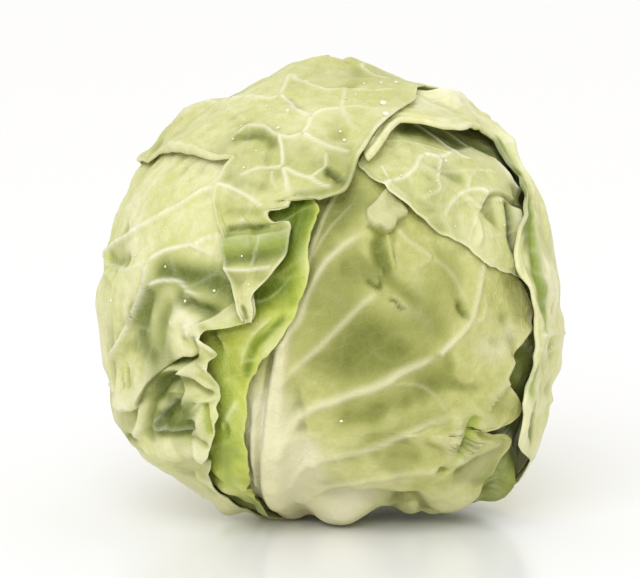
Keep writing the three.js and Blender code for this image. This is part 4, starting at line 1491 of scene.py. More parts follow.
def right_shoulder_leaf() -> WrapperLeaf:
    """The leaf that lies over the front leaf from the right shoulder.

    Returns:
        The leaf.
    """
    end_fold = [(67, 23), (67.4, 13.7), (73, 6.6)]
    stations = [
        ((104, -79.5), (114, -79.5), (126, -79.5)),
        ((98, -66), (114, -68), (128, -66)),
        ((84, -38), (112, -42), (150, -42)),
        ((80, -18), (106, -22), (158, -14)),
        ((76, -2), (99, -4), (154, 10)),
        ((68, 4.5), (94, 6), (152, 24)),
        ((58.5, 7.6), (86, 15), (148, 36)),
        ((47.5, 11), (76, 25), (140, 52)),
        ((43, 13), (71, 29), (134, 58)),
        ((40, 16.6), (66, 33), (128, 62)),
        ((37, 18.8), (62, 36), (120, 66)),
        ((33, 20.6), (57, 39), (110, 70)),
        ((26, 25), (48.5, 43), (90, 75)),
        ((19, 31), (40, 46.5), (66, 74)),
        ((13.4, 36.2), (29, 49), (44, 68)),
        ((8.2, 42), (15, 50), (20, 60)),
    ]
    creases = [
        Crease([(66.8, 26.3), (59.5, 29.9), (53.1, 30.8), (47.5, 28.1), (44.2, 26.2)], 3, 1, 9, 1.2, 0.1),
        Crease([(44.2, 26.2), (43.2, 20), (40.9, 16.6)], 1.4, 1.4),
        Crease([(60, 28), (57.2, 21.8), (55.6, 16.6), (55.4, 9)], -2.6, 1.7, ends=0.1),
        Crease([(62.6, 26.5), (61, 21.4), (60.6, 18.2), (61.3, 12.8), (66, 7), (75, 1)],
            3.6, 2.1, ends=0.1),
        Crease(end_fold, -2.4, 2.2),
        Crease([(57, 47.5), (62, 44), (66.6, 40.5), (69.8, 35.6), (72, 31.7), (71.8, 25)],
            3, 1.5, 14, 0, 0.15),
        Crease([(30, 36), (34, 38), (38, 36)], -1, 4),
        Crease([(48, 37), (54, 36), (60, 35)], -1, 4),
    ]
    veins = [
        Vein([(14.6, 34.2), (17.6, 35.7), (25.6, 38.4), (31.8, 43.1), (34.3, 44.3)], 1, 0.9, 0.8, 0.8),
        Vein([(33.8, 44.2), (41.6, 43.2), (51.6, 44.5), (60, 43.6)], 1, 0.8, 0.9, 0.5),
        Vein([(41.6, 43.2), (37.7, 39.3), (35.1, 36.4), (34.4, 33.5), (30.2, 32.1), (25.7, 30.6)],
            0.8, 0.8, 0.8, 0.4),
        Vein([(52, 31.4), (47.5, 32.1), (41, 31.4), (34.9, 27.9), (32.7, 25.6)], 1, 0.9, 0.9, 0.4),
        Vein([(16, 41.1), (16.8, 39), (17.6, 35.7), (15.7, 33)], 0.7, 0.6, 0.7),
        Vein([(46.2, 27.4), (42.7, 23.6), (39.2, 19)], 0.7, 0.5, 0.6),
        Vein([(44, 32), (49, 36), (56, 38)], 0.8, 0.5, 0.6),
    ]
    # Painted shade in the deep gap under the right leaf's rolled margin, under the crown leaf's margin and
    # along the folds.
    patches = [
        Patch([(36, 55), (46, 52.4), (57, 48.4), (68, 44.4), (76, 41), (80, 36), (78, 30), (74, 24),
            (70, 16)], 6.5, 1),
        Patch([(59.5, 27), (57.2, 21.8), (55.6, 16.6), (55.4, 9)], 2, 0.8),
        Patch(end_fold, 3, 0.85),
        Patch([(33, 52.5), (44, 51), (54, 47.5)], 3, 0.6),
        Patch([(30, 29), (34, 34), (40, 37)], 5, 0.2),
    ]
    return WrapperLeaf(
        name="leaf_right_shoulder",
        stations=stations,
        depth=4.5,
        columns=150,
        rows=190,
        dense=(0.5, 1.0),
        left_share=0.7,
        finish=LeafFinish(
            "shoulder_leaf", light=rgb(214, 214, 154), green=rgb(193, 196, 118), deep=rgb(68, 82, 14),
        ),
        foot=6.0,
        bow=3.0,
        lift=[0, 0, 0, 0, 0, -1.5, -2, -2, -1, 0],
        ruffle=0.8,
        teeth=0.6,
        ribs=Ribs(left=0.4),
        net=0.5,
        creases=creases,
        veins=veins,
        patches=patches,
        seed=14,
    )


def left_leaf() -> WrapperLeaf:
    """The large left leaf with the ruffled margin.

    Returns:
        The leaf.
    """
    pocket_ridge = [(-43.2, -20.6), (-46.1, -22.4), (-48, -23.8), (-50.4, -26)]
    pocket_floor = [(-51.6, -26.6), (-45.8, -26.6), (-41.2, -26.6), (-35.5, -26)]
    stations = [
        ((-132, -79.5), (-118, -79.5), (-90, -79)),
        ((-140, -66), (-118, -68), (-56, -67)),
        ((-160, -54), (-116, -57), (-48, -55)),
        ((-172, -46), (-114.5, -49), (-45, -47)),
        ((-175, -38), (-113.5, -42), (-41, -41)),
        ((-176, -32), (-112.8, -36.5), (-38, -36)),
        ((-176, -28), (-112.3, -32.5), (-34.3, -32.4)),
        ((-176, -24), (-111.8, -29.5), (-32.4, -30)),
        ((-176, -20), (-111.2, -26.5), (-31, -27.4)),
        ((-176, -16), (-110.6, -24), (-30.4, -24.4)),
        ((-175, -12), (-110, -21.5), (-29.6, -22.4)),
        ((-175, -9), (-109.6, -19.4), (-30.4, -20.4)),
        ((-175, -6), (-109.2, -17.4), (-29.2, -18.2)),
        ((-174, -3), (-108.7, -15), (-29.2, -16)),
        ((-174, 0), (-108.1, -12), (-30.3, -12.8)),
        ((-173, 2), (-107.5, -9), (-29.8, -9.6)),
        ((-172, 4), (-107.1, -7), (-28, -7.8)),
        ((-172, 6), (-106.8, -5.4), (-29.2, -5.6)),
        ((-172, 8), (-106.5, -3.8), (-31.4, -2.8)),
        ((-171, 10), (-106, -1.5), (-28.2, -1.6)),
        ((-170, 12), (-105.5, 0.6), (-25, -0.8)),
        ((-170, 14), (-105, 2.6), (-19.6, 1)),
        ((-169, 17), (-104.2, 6), (-18.2, 5)),
        ((-168, 22), (-102.8, 12), (-21, 10)),
        ((-165, 29), (-100.5, 20), (-22.5, 19)),
        ((-156, 44), (-93, 37), (-24, 33)),
        ((-136, 62), (-75, 56), (-26, 46)),
        ((-100, 68), (-60, 70), (-34, 62)),
    ]
    creases = [
        Crease([(-31.2, -7.6), (-36.4, -7.4), (-38.7, -8.3), (-42.4, -10.4), (-45.1, -12.4), (-48.8, -14.9),
            (-52.2, -18), (-53.8, -20.6), (-56, -21.8), (-60, -22.4), (-72, -23.5)], 6, 1.1, 16, 2.6, 0.06),
        Crease([(-31.8, -11), (-37.1, -11.6), (-41.2, -11.9), (-44.8, -12.8), (-48.9, -15.8),
            (-52.4, -19.2), (-53.4, -22.4), (-55, -26), (-58.8, -30.4)], 5.4, 2.2, ends=0.08),
        Crease([(-37.6, -18), (-41, -18.2), (-45, -18.6), (-48.6, -21)], 1.6, 0.9, 3, 0.6, 0.15),
        Crease(pocket_ridge, 1.6, 0.8, 4, 0.6, 0.15),
        Crease([(-37, -21.6), (-42, -22.4), (-45.4, -23.8), (-48, -25.4)], -6, 3.2, ends=0.1),
        Crease(pocket_floor, 1.4, 0.8),
        Crease([(-52, -28.6), (-47, -28), (-42, -27.9), (-36, -27.4)], -2.4, 1.6),
        Crease([(-48.4, -20.4), (-46.8, -17), (-43, -14.8), (-38, -14)], -2.6, 1.8),
        Crease([(-60, -34), (-52, -34), (-45, -33)], 3, 5),
        Crease([(-37.6, -36.4), (-37, -34.3), (-37.3, -31.5), (-36.9, -28), (-36, -26.1), (-34, -24.5),
            (-35.6, -22.8), (-37.9, -22.3), (-38.3, -19.9), (-37.3, -16.9), (-37.7, -15), (-37.8, -13.4),
            (-35.4, -10.8), (-32.3, -8.6), (-31.9, -6.7), (-31.7, -4.9), (-32, -2.6)],
            4.6, 1.1, 7, 1.2, 0.04),
        Crease([(-34.5, -3.4), (-32.4, -1.2), (-28, 1), (-24, 3.9), (-18.4, 6.4)], 3.2, 1.1, 5, 1.2, 0.06),
        Crease([(-90, 6), (-89, -10), (-87, -24)], 3.6, 17),
        Crease([(-102, 43), (-92, 48), (-82, 52)], 3, 8),
        Crease([(-112, 28.6), (-97, 31), (-80, 32.6)], 2.4, 6.5),
        Crease([(-92, -36), (-82, -48), (-70, -58), (-62, -66)], 8, 13),
        Crease([(-36.8, -11.8), (-35, -12.3), (-32.7, -14.6), (-29.1, -17.3)], 2, 0.8),
        Crease([(-35.6, -14.6), (-32.8, -16.4), (-30, -18)], -1.6, 1.2),
        Crease([(-36.6, -19), (-33.4, -19), (-31.1, -18.7), (-28.9, -18.6)], 1.8, 0.7),
        Crease([(-37.6, -21.8), (-35, -20.4), (-33.4, -19.2)], 1.6, 0.8),
        Crease([(-32.7, -19.7), (-32.1, -21.9), (-31.8, -24.6), (-32, -27.4)], -3, 0.8, ends=0.1),
        Crease([(-34.4, -21), (-33.6, -23), (-33.6, -26), (-34, -29)], 1.4, 0.8),
        Crease([(-36.4, -27), (-34.6, -28.6), (-33.6, -31)], -1.4, 1),
        Crease([(-33, -9.6), (-31, -11), (-29.6, -12.6)], 1.4, 1),
        Crease([(-31, -4), (-29.6, -6), (-28.4, -7.4)], 1.4, 0.9),
        Crease([(-78.9, -17), (-77, -21), (-65.3, -21.6), (-58, -21), (-55, -19.6), (-51, -15.4)], 2, 1),
        Crease([(-64, -14), (-63, -17.6), (-61.6, -20)], -1.6, 1),
        Crease([(-60.4, -13.6), (-60, -17), (-59, -19.4)], -1.6, 1),
        Crease([(-51, 12.4), (-50.5, 8.1), (-51.8, 3.4), (-54.3, -0.9), (-59.3, -6.1), (-65.2, -10.5),
            (-78.9, -15.7)], 3, 1.5, ends=0.1),
        Crease([(-48, 7), (-49, 3), (-51.3, -2.6), (-54, -7.2), (-62, -12)], -1.8, 2.6),
        Crease([(-43, 7), (-42.3, 2.6), (-43, -0.4), (-45.7, -3.5), (-51.5, -8.1)], -1, 4.4),
        Crease([(-39, 5), (-39, 1), (-41, -3)], 1.6, 2.4),
        Crease([(-36.7, -0.6), (-33.9, -2.6), (-32, -4.2)], 2, 2.2),
        Crease([(-38, -4), (-35, -5), (-32.4, -5.6)], -1.4, 1.2),
        Crease([(-45, 10), (-36, 9.4), (-31.8, 9.3), (-25, 8)], -2.6, 3.6),
        Crease([(-37, 4), (-35.1, 3.4), (-32.6, 2.4), (-28, 1.8)], -3.4, 2),
        Crease([(-28.8, 8.6), (-28.4, 6.6), (-29.8, 5.2)], 1.6, 0.8),
        Crease([(-86, 12), (-76, 9.5), (-66, 10.6), (-60, 12)], -2, 3),
        Crease([(-86.1, 10.6), (-82.4, 9.3), (-80.3, 7), (-72.2, 5.5), (-67.5, 3.2)], 1.4, 1.4),
        Crease([(-76, -33), (-66, -32), (-58, -31)], -2.4, 1.3),
        Crease([(-74, -38), (-64, -38), (-58, -40)], -2, 1.3),
        Crease([(-60, -52), (-52, -46), (-44, -40)], 1.6, 1.4),
    ]
    veins = [
        Vein([(-112, 0), (-100, 6), (-86.1, 10.6), (-70.5, 16), (-58.3, 20.2), (-51.4, 23.7), (-45.7, 27.2),
            (-41.6, 30.2), (-39.2, 32), (-35.7, 33)], 1.2, 1.9, 0.8, 0.75),
        Vein([(-51.4, 11.8), (-48.8, 13.8), (-45.7, 15.3), (-42.4, 16.3), (-37.7, 17.2), (-34.1, 16.6),
            (-28.2, 15)], 1, 1.5, 0.8, 0.8),
        Vein([(-38.4, 17.1), (-35.8, 17.8), (-34, 19.3), (-30.5, 20.3), (-28, 21)], 0.8, 1.2, 0.75, 0.7),
        Vein([(-52, 12.6), (-50.7, 8.8), (-51.4, 4), (-54.3, -0.9), (-59.3, -6.1), (-65.2, -10.5),
            (-78.9, -15.7)], 0.9, 0.5, 0.7, 0.7),
        Vein([(-49.8, 6.4), (-46.3, 7.9), (-42.9, 8.4), (-40.5, 8.5), (-38.3, 7.8), (-35.6, 6.4),
            (-31.7, 5.2)], 0.8, 1.2, 0.8, 0.7),
        Vein([(-104, 14), (-88.9, 20.2), (-68.9, 25.2), (-59.2, 29.2), (-51.6, 32.7), (-44, 38)],
            0.7, 0.5, 0.3, 0.5),
        Vein([(-80, -17), (-77, -21), (-65.3, -21.8), (-55.5, -20.2)], 0.8, 0.4, 0.6, 0.8),
        Vein(pocket_floor, 0.6, 0.2, 0.35, 0.7),
        Vein(pocket_ridge, 0.5, 0.2, 0.4, 0.7),
        Vein([(-88, 10), (-81.2, 8.4), (-66.7, 8.8), (-59, 9.6), (-54.3, 11.5), (-51.4, 12.2)],
            0.7, 0.7, 0.5, 0.8),
        Vein([(-66, 22), (-60, 15), (-57, 10)], 0.6, 0.4, 0.3),
    ]
    # Painted shade in the pocket, the hollows and the folds and under the ruffled strip; the fresh patches
    # are greener young tissue by the margin and a vein.
    patches = [
        Patch([(-45, 10.6), (-36, 10), (-31.8, 9.6), (-25, 8.4)], 5.4, 1),
        Patch([(-38, 5), (-33, 3.4), (-28.6, 2.4)], 3, 0.9),
        Patch([(-27, 12), (-25, 7), (-22, 4)], 4, 0.6),
        Patch([(-36, -14), (-40, -14), (-44, -15.2), (-47, -17.6), (-49, -21), (-50, -25)], 2.4, 0.8),
        Patch([(-37, -21), (-42.6, -21.6), (-46, -24.2), (-47.8, -25.4), (-42, -25.6), (-37, -25)], 3.8, 1),
        Patch([(-48.3, -19.4), (-45.2, -19.2), (-43.2, -20.4)], 1.8, 0.8),
        Patch([(-47, -16.4), (-43, -15.4), (-39.4, -16.4)], 3, 0.5),
        Patch([(-32.5, -8.8), (-36.8, -9), (-40, -9.6)], 2.4, 0.85),
        Patch([(-43, -11.3), (-46.8, -14.2), (-50.6, -17.4), (-53, -20.6)], 1.1, 0.9),
        Patch([(-52, -28.2), (-46, -27.8), (-41, -27.6), (-36.4, -27)], 1.4, 0.75),
        Patch([(-51, -25), (-53, -28)], 2.4, 0.5),
        Patch([(-49, 4), (-52, -2.4), (-51, -6.7), (-46.8, -9.4)], 6, 0.85),
        Patch([(-42, 2), (-44, -3), (-42, -8)], 4, 0.6),
        Patch([(-32.6, -20), (-31.9, -23), (-31.9, -27)], 1, 0.8, Tint.FRESH),
        Patch([(-75, -33.4), (-66, -32.4)], 1.6, 0.5),
        Patch([(-72, -38.4), (-62, -38.6)], 1.6, 0.4),
        Patch([(-32, -4), (-30, -2.6), (-24, -1), (-20, 1)], 2.2, 0.5, Tint.FRESH),
        Patch([(-29, -4), (-28, -8), (-28.4, -14), (-29, -20), (-30, -28)], 1.6, 0.5, Tint.FRESH),
        Patch([(-70.5, 14.4), (-58.3, 18.8), (-45.7, 25.8), (-40, 30)], 1.1, 0.35, Tint.FRESH),
        Patch([(-82, 10), (-76, 6), (-66, 7)], 4, 0.3, Tint.FRESH),
    ]
    return WrapperLeaf(
        name="leaf_left",
        stations=stations,
        depth=2.5,
        columns=208,
        rows=215,
        dense=(0.24, 0.6),
        left_share=0.32,
        finish=LeafFinish(
            "left_leaf_skin", light=rgb(226, 224, 172), green=rgb(200, 202, 122), deep=rgb(80, 96, 14),
        ),
        foot=4.0,
        bow=5.0,
        lift=[0, 0, 0, 2, 2.5, 2.5, 1.5, 0, 0, 0],
        ruffle=1.2,
        waves=6.0,
        teeth=0.4,
        scallop=0.008,
        hollow_shade=0.75,
        pucker=0.2,
        right=Edge(frill=[0, 0, 0.4, 0.5, 0.4, 0.3, 0, 0, 0, 0], frills=17.0),
        ribs=Ribs(right=0.0),
        net=0.5,
        creases=creases,
        veins=veins,
        patches=patches,
        seed=15,
    )


def right_leaf() -> WrapperLeaf:
    """The large right leaf, whose front margin rolls under.

    Returns:
        The leaf.
    """
    margin_notch = [(60.6, -23.6), (61.8, -27.5), (66, -32)]
    stations = [
        ((142, -79.5), (152, -79.5), (164, -79.5)),
        ((132, -66), (150, -68), (162, -67)),
        ((96, -54), (141, -54), (166, -54)),
        ((80, -46), (138, -47), (170, -46)),
        ((74, -38.6), (136, -42), (170, -42)),
        ((66, -36), (134.5, -38), (174, -38)),
        ((60, -33.4), (133.6, -35.4), (178, -34)),
        ((58.6, -29.4), (132.6, -32), (181, -30)),
        ((58.6, -25.8), (131.6, -29), (183, -26)),
        ((56.6, -22.8), (131, -26), (185, -22)),
        ((56.4, -20.4), (130.6, -23), (187, -17)),
        ((58, -17), (130, -18), (189, -12)),
        ((60, -12.6), (129, -13), (191, -7)),
        ((60.6, -8.8), (128, -8.5), (192, -3)),
        ((59.4, -4.8), (127, -4.5), (193, 1)),
        ((56.6, -0.6), (125, 0), (193, 7)),
        ((54.6, 3.4), (124, 3), (193, 10)),
        ((53.4, 7.4), (122, 7), (192, 14)),
        ((53.2, 11.6), (120, 11.5), (192, 18)),
        ((54.4, 15.8), (118, 16), (191, 23)),
        ((58, 21), (115, 21), (190, 29)),
        ((64, 26.6), (112, 26), (189, 35)),
        ((71, 31.6), (108, 30.5), (187, 41)),
        ((75, 36), (106, 34.5), (186, 46)),
        ((77, 40.4), (104, 39), (184, 52)),
        ((78, 44.4), (102, 43), (182, 57)),
        ((71, 48), (97, 48), (178, 63)),
        ((61, 49), (90, 53), (172, 69)),
        ((51, 48.2), (80, 58), (162, 75)),
        ((43, 49.6), (71, 62), (148, 80)),
        ((35, 52.4), (60, 65), (120, 83)),
        ((27, 53.4), (46, 67), (84, 81)),
        ((20.4, 50.4), (32, 64), (50, 76)),
        ((15, 46.4), (20, 58), (30, 70)),
        ((10, 42.6), (11.6, 51), (14, 60)),
    ]
    creases = [
        Crease([(61.4, -2), (60.4, 4), (60, 9), (60.4, 14), (62.4, 18), (66, 22), (71, 26.6), (77, 30),
            (81, 34), (83, 38), (84, 42), (83, 46)], 3.6, 1.4, 8, 1.2, 0.12),
        Crease([(78, 49.6), (70, 50), (61, 51), (51, 50.2), (43, 51.6), (35, 54.2), (27, 55), (20.2, 52),
            (14.4, 47.8), (10, 43.6)], 1.8, 1.6, 8, 0.6, 0.08),
        Crease([(70, 60), (92, 58), (110, 54)], 5.5, 8.5),
        Crease([(100, 50), (92, 44), (88, 36)], 3, 8),
        Crease([(90, -4), (88, -12), (86, -24)], 3.2, 12),
        Crease([(62, -6.4), (74.1, -7.8), (90, -9.7)], 1.3, 1.4, ends=0.3),
        Crease([(62, -24), (74, -25), (92, -25)], 1.2, 1.4, ends=0.3),
        Crease([(57.6, -19), (60.6, -13), (62, -8), (60.4, -4), (57.4, 0), (55.6, 4), (54.6, 8),
            (54.8, 12)], 1.6, 1.2, ends=0.2),
        Crease(margin_notch, -4, 1.6),
        Crease([(78, -16), (74, -12), (69, -9)], -1.8, 2.2),
        Crease([(66, -12), (70, -18), (66, -23)], -1.4, 2.6),
        Crease([(66, 8), (72, 2), (68, -4)], -2, 2.2),
        Crease([(64, 22), (66, 14), (64, 6)], -1.8, 1.6),
        Crease([(82, 30), (80, 20), (76, 12)], 1.8, 3),
        Crease([(80, -30), (77, -27), (76, -20)], -1.6, 2.6),
    ]
    veins = [
        Vein([(60, -6.4), (66.3, -7.5), (74.1, -8.1), (86, -9.8), (104, -11)], 0.9, 0.9, 0.85, 0.5),
        Vein([(60, -23.8), (69.2, -24.8), (81.5, -25.6), (96, -26)], 0.8, 0.8, 0.8, 0.5),
        Vein([(60, 1), (73.4, 4.1), (84, 8)], 0.7, 0.6, 0.5, 0.5),
        Vein([(84, -9), (76, -14), (68, -21)], 0.7, 0.7, 0.6, 0.6),
        Vein([(40, 62), (46, 58), (50, 54)], 0.7, 0.5, 0.4, 0.6),
    ]
    # Painted shade in the gap under the rolled front margin, in the notch and on the shoulder; the dark
    # fresh band along the margin is partly the greener inner face turned out and partly painted shade.
    patches = [
        Patch([(79, 43), (77.6, 38), (74, 32.6), (68, 27), (62, 20.6), (59.4, 15), (59, 9), (60.4, 3),
            (61.4, -1)], 2.4, 0.9),
        Patch([(78.4, 41), (76, 36), (72, 31.6), (65.4, 26.6), (60, 21), (57, 16)], 2.6, 0.75),
        Patch([(80, 42), (78, 37), (74, 32), (68, 27), (62, 20), (60, 13), (60, 6), (62, -1), (63, -8),
            (61.6, -14), (59, -20)], 2.6, 0.9, Tint.FRESH),
        Patch(margin_notch, 1.8, 0.9),
        Patch([(50, 54), (62, 55), (76, 54)], 7, 0.14),
    ]
    return WrapperLeaf(
        name="leaf_right",
        stations=stations,
        depth=1.5,
        columns=140,
        rows=240,
        dense=(0.3, 1.0),
        left_share=0.58,
        finish=LeafFinish(
            "right_leaf_skin", light=rgb(236, 234, 188), green=rgb(212, 213, 136), deep=rgb(70, 86, 14),
            fresh=rgb(142, 160, 60),
        ),
        foot=5.0,
        bow=4.0,
        waves=6.0,
        teeth=0.4,
        ruffle=1.2,
        hollow_shade=0.35,
        pucker=0.2,
        left=Edge(
            lift=[0, 0, 1, 2.5, 2.5, 0, -2, 1, 4, 3, 1],
            roll=[0.6, 0.6, 0.7, 0.8, 0.9, 0.9, 1.0, 1.2, 1.2, 1.4, 1.8],
            turn=140.0,
        ),
        ribs=Ribs(count=10.0, left=0.5),
        net=0.5,
        creases=creases,
        veins=veins,
        patches=patches,
        seed=16,
    )


def crown_leaf() -> WrapperLeaf:
    """The leaf that comes up the back and over the crown, and ends in a torn tongue at the front.

    Returns:
        The leaf.
    """
    stations = [
        ((170, -79.5), (178, -79.5), (-172, -79.5)),
        ((168, -68), (179, -69), (-169, -68)),
        ((130, -36), (178, -38), (-134, -36)),
        ((124, -14), (178, -16), (-128, -14)),
        ((126, 9), (178, 6), (-124, 8)),
        ((126, 32), (178, 29), (-118, 24)),
        ((118, 54), (176, 53), (-104, 32)),
        ((98, 66), (178, 80), (-80, 36)),
        ((62, 65.6), (-24, 72), (-65.4, 41.4)),
        ((42, 60), (-22, 60), (-51, 42)),
        ((24.5, 53.8), (-20.5, 52.5), (-41, 40.6)),
        ((13.2, 47.2), (-20, 46), (-33.4, 41)),
        ((8.4, 42), (-20, 40.5), (-34.6, 37.4)),
        ((5.8, 37.4), (-20.5, 36.5), (-35.3, 34)),
        ((3.2, 33.4), (-21.5, 33.4), (-34.9, 31.6)),
        ((-2, 31.3), (-22.5, 31.4), (-34.5, 29.9)),
        ((-7.4, 30.8), (-23, 29.8), (-33.8, 28.2)),
        ((-11.9, 30.8), (-23.6, 28.6), (-32.8, 27)),
        ((-13, 28.2), (-24, 27.6), (-32, 26)),
        ((-17.8, 27.1), (-25, 26.6), (-31.2, 25)),
        ((-18, 25.5), (-24.6, 25.4), (-30.2, 23.6)),
        ((-15.8, 23.8), (-23, 24), (-29.2, 22.2)),
        ((-12, 24.2), (-22, 22.6), (-28.4, 21)),
        ((-10.9, 22), (-21, 20.8), (-27.8, 19.6)),
        ((-11.1, 18.8), (-20.4, 18.2), (-27.4, 17.6)),
        ((-12.3, 15.8), (-20, 15.2), (-27, 15)),
        ((-15.1, 12), (-20.6, 12), (-26, 12)),
        ((-17.8, 8.6), (-20.9, 8.8), (-23.9, 8.7)),
        ((-19.2, 5.8), (-21, 5.6), (-22.6, 5.6)),
        ((-18.8, 3), (-20.4, 2.8), (-21.8, 3)),
        ((-19.4, 0.4), (-20.1, 0.2), (-20.8, 0.6)),
    ]
    creases = [
        Crease([(-92, 62), (-88, 78), (0, 89), (84, 80)], 2.6, 21, ends=0.4),
        Crease([(-31, 17.8), (-27.4, 19), (-22.6, 19.8), (-18.6, 20.5), (-14.4, 21.2), (-10, 22.6)],
            4.2, 1, 6.5, 0.4, 0.08),
        Crease([(-9, 17.4), (-12, 16.8), (-16.1, 15.8), (-21.4, 15), (-25.6, 14.6), (-29.5, 14.6)],
            -1.8, 2.2, ends=0.1),
        Crease([(-27.6, 21.6), (-24, 22), (-21, 22.7), (-18, 23.2)], -1.6, 1.1, ends=0.1),
        Crease([(-22.4, 24), (-20.6, 23), (-18.4, 24)], 0.9, 0.5),
        Crease([(-37, 49), (-33, 51), (-28, 51), (-22, 49)], 0.6, 1.3),
        Crease([(-36, 46.6), (-31.7, 48), (-26.8, 47.8), (-22, 46)], -2.2, 2.6),
        Crease([(-2.4, 38.8), (0, 37.2), (2.6, 35.3)], -3, 1.7),
        Crease([(-2.6, 39.6), (-1, 37.4), (0.1, 35.3)], 1.6, 0.8),
        Crease([(-0.4, 35.5), (1.6, 36.6), (4.4, 37.8)], 1.4, 0.9),
        Crease([(-34.8, 66.6), (-23.8, 62.7), (-16.3, 58.2)], -1, 2),
        Crease([(12, 71), (5, 66), (5, 60)], 0.8, 3),
        Crease([(-24.6, 10), (-22.8, 5.2), (-20.9, 0.8)], 1, 1.3),
        Crease([(-100, 60), (-92, 54), (-85, 49)], 2.6, 7),
        Crease([(-20.9, 4), (-20, 2)], -1, 0.8),
        Crease([(-28, 36), (-24, 34), (-19, 33)], -0.8, 2.4),
    ]
    veins = [
        Vein([(-94.9, 55.8), (-75.7, 59.9), (-54.3, 63.6), (-38.4, 64), (-34.1, 65.8)], 1, 1, 0.75, 0.9),
        Vein([(-34.1, 65.8), (-39.2, 70.8), (-45.2, 74.9), (-34.8, 75.7)], 0.8, 0.8, 0.55, 0.8),
        Vein([(-45.2, 74.9), (-24.6, 73.3), (-9.6, 71), (8.4, 69.9), (19.3, 68.7), (36.2, 67.2),
            (49.1, 67.7)], 0.8, 0.8, 0.65, 0.6),
        Vein([(-34.8, 66.2), (-23.8, 62.7), (-16.3, 58.2), (-9.4, 55.9)], 0.9, 1, 0.75, 0.9),
        Vein([(-9.4, 55.9), (-3.6, 58.9), (4.2, 59.9)], 0.8, 0.9, 0.7, 0.9),
        Vein([(4.1, 59.5), (6.2, 64.9), (9.3, 70.2)], 0.7, 0.6, 0.5, 0.9),
        Vein([(4.2, 59.9), (11.1, 59.8), (19.6, 58.1), (23, 55.6)], 0.7, 0.7, 0.6, 0.7),
        Vein([(4.2, 60.1), (5.8, 55.2), (7.2, 51.9), (10.9, 49.3)], 0.7, 0.7, 0.6, 0.8),
        Vein([(-9.5, 56.1), (-10, 51.9), (-11.4, 49.6)], 0.8, 0.9, 0.7, 1),
        Vein([(-11.4, 49.6), (-15.5, 48.5), (-20.2, 48.7), (-25.2, 50.3), (-29.9, 50.9), (-35.6, 50.6),
            (-38, 47.6)], 0.8, 0.9, 0.7, 0.8),
        Vein([(-11.4, 49.6), (-6.2, 47.6), (-1.5, 45.7), (2.5, 44.7), (6.4, 43.7)], 0.9, 0.9, 0.8, 0.6),
        Vein([(-20.2, 48.7), (-17.2, 43.5), (-16, 39.4)], 0.8, 0.8, 0.75, 0.9),
        Vein([(-16, 39.4), (-21, 38.7), (-25.4, 37.1), (-29.1, 35.6)], 0.7, 0.6, 0.6, 0.7),
        Vein([(-16, 39.4), (-10.9, 37.3), (-6.9, 36.2), (-3.6, 34.6), (-0.1, 33.6)], 0.8, 0.8, 0.75, 0.8),
        Vein([(-6.9, 36.2), (-4.4, 38.2), (-2.6, 39.6), (-2.4, 42.3), (-2.5, 44.1)], 0.7, 0.7, 0.6, 0.8),
        Vein([(-16, 39.4), (-14.4, 36.4), (-13.3, 33.7), (-12.5, 32.1)], 0.8, 0.8, 0.8, 0.8),
        Vein([(-19.2, 38.2), (-18.5, 35.4), (-15.7, 32.3)], 0.6, 0.5, 0.45, 0.8),
        Vein([(-35.4, 33.2), (-30, 32.4), (-24.6, 30.5), (-20.3, 28.4), (-19, 27.6)], 0.8, 0.9, 0.8, 0.7),
        Vein([(-75.7, 59.9), (-54.9, 57.3), (-43, 54.7), (-36.8, 53.3)], 0.6, 0.5, 0.4, 0.6),
        Vein([(80, 82), (63.1, 81.8), (54.5, 76.3), (70, 73)], 0.8, 0.7, 0.6, 0.8),
        Vein([(-28, 12.4), (-25.1, 12.2), (-20.8, 12.3), (-17.7, 13), (-14.6, 13.4)], 0.7, 0.7, 0.7, 0.8),
        Vein([(-18, 20), (-19, 17), (-20, 13)], 0.6, 0.3, 0.3, 0.8),
    ]
    # Painted shade in the band under the tongue's crest, the pit, the tear and the hollows; the fresh green
    # under the crest is partly greener tissue and partly painted shade.
    patches = [
        Patch([(-36, 46.8), (-31.7, 48.4), (-26.8, 48.2), (-22, 46.4)], 2.8, 0.6),
        Patch([(-10, 19.6), (-16.1, 18), (-21.4, 17), (-25.6, 16.6), (-27.4, 16.4)], 4.4, 0.6),
        Patch([(-9, 18.6), (-12, 18.4), (-16, 17.4), (-20, 15.8)], 2.6, 0.85),
        Patch([(-20, 15.4), (-23, 14.8), (-26, 14.6)], 1.4, 0.6),
        Patch([(-26.4, 21.4), (-23, 22), (-20, 22.6), (-17, 23)], 1.2, 0.85),
        Patch([(-28, 17.6), (-22, 18.2), (-12, 19.2)], 4.2, 0.75, Tint.FRESH),
        Patch([(-21.6, 27.2), (-20.6, 26.4)], 0.8, 0.9, Tint.FRESH),
        Patch([(-28, 26), (-24, 26.4), (-20, 26.4)], 2, 0.35),
        Patch([(-2.2, 38.6), (0, 37.2), (2.4, 35.4)], 1.5, 0.9),
        Patch([(-10, 31.6), (-2, 32.6), (4, 35.6), (7, 40)], 1.8, 0.4),
        Patch([(6, 39), (8.6, 43), (12, 46.6)], 1.4, 0.5, Tint.FRESH),
        Patch([(-32, 35.4), (-26, 34), (-20, 33)], 3, 0.2),
        Patch([(-22, 8.6), (-24, 10.4), (-26, 13)], 2, 0.3),
        Patch([(-20.9, 4), (-20, 1.6)], 0.8, 0.7),
        Patch([(-30, 76), (20, 77), (70, 78)], 9, 0.16),
        Patch([(-30, 40), (-15, 43), (0, 39)], 10, 0.16),
        Patch([(-28, 20), (-20, 22), (-14, 22)], 3, 0.3),
        Patch([(-26, 64), (-20, 61), (-16, 59)], 1.4, 0.3),
    ]
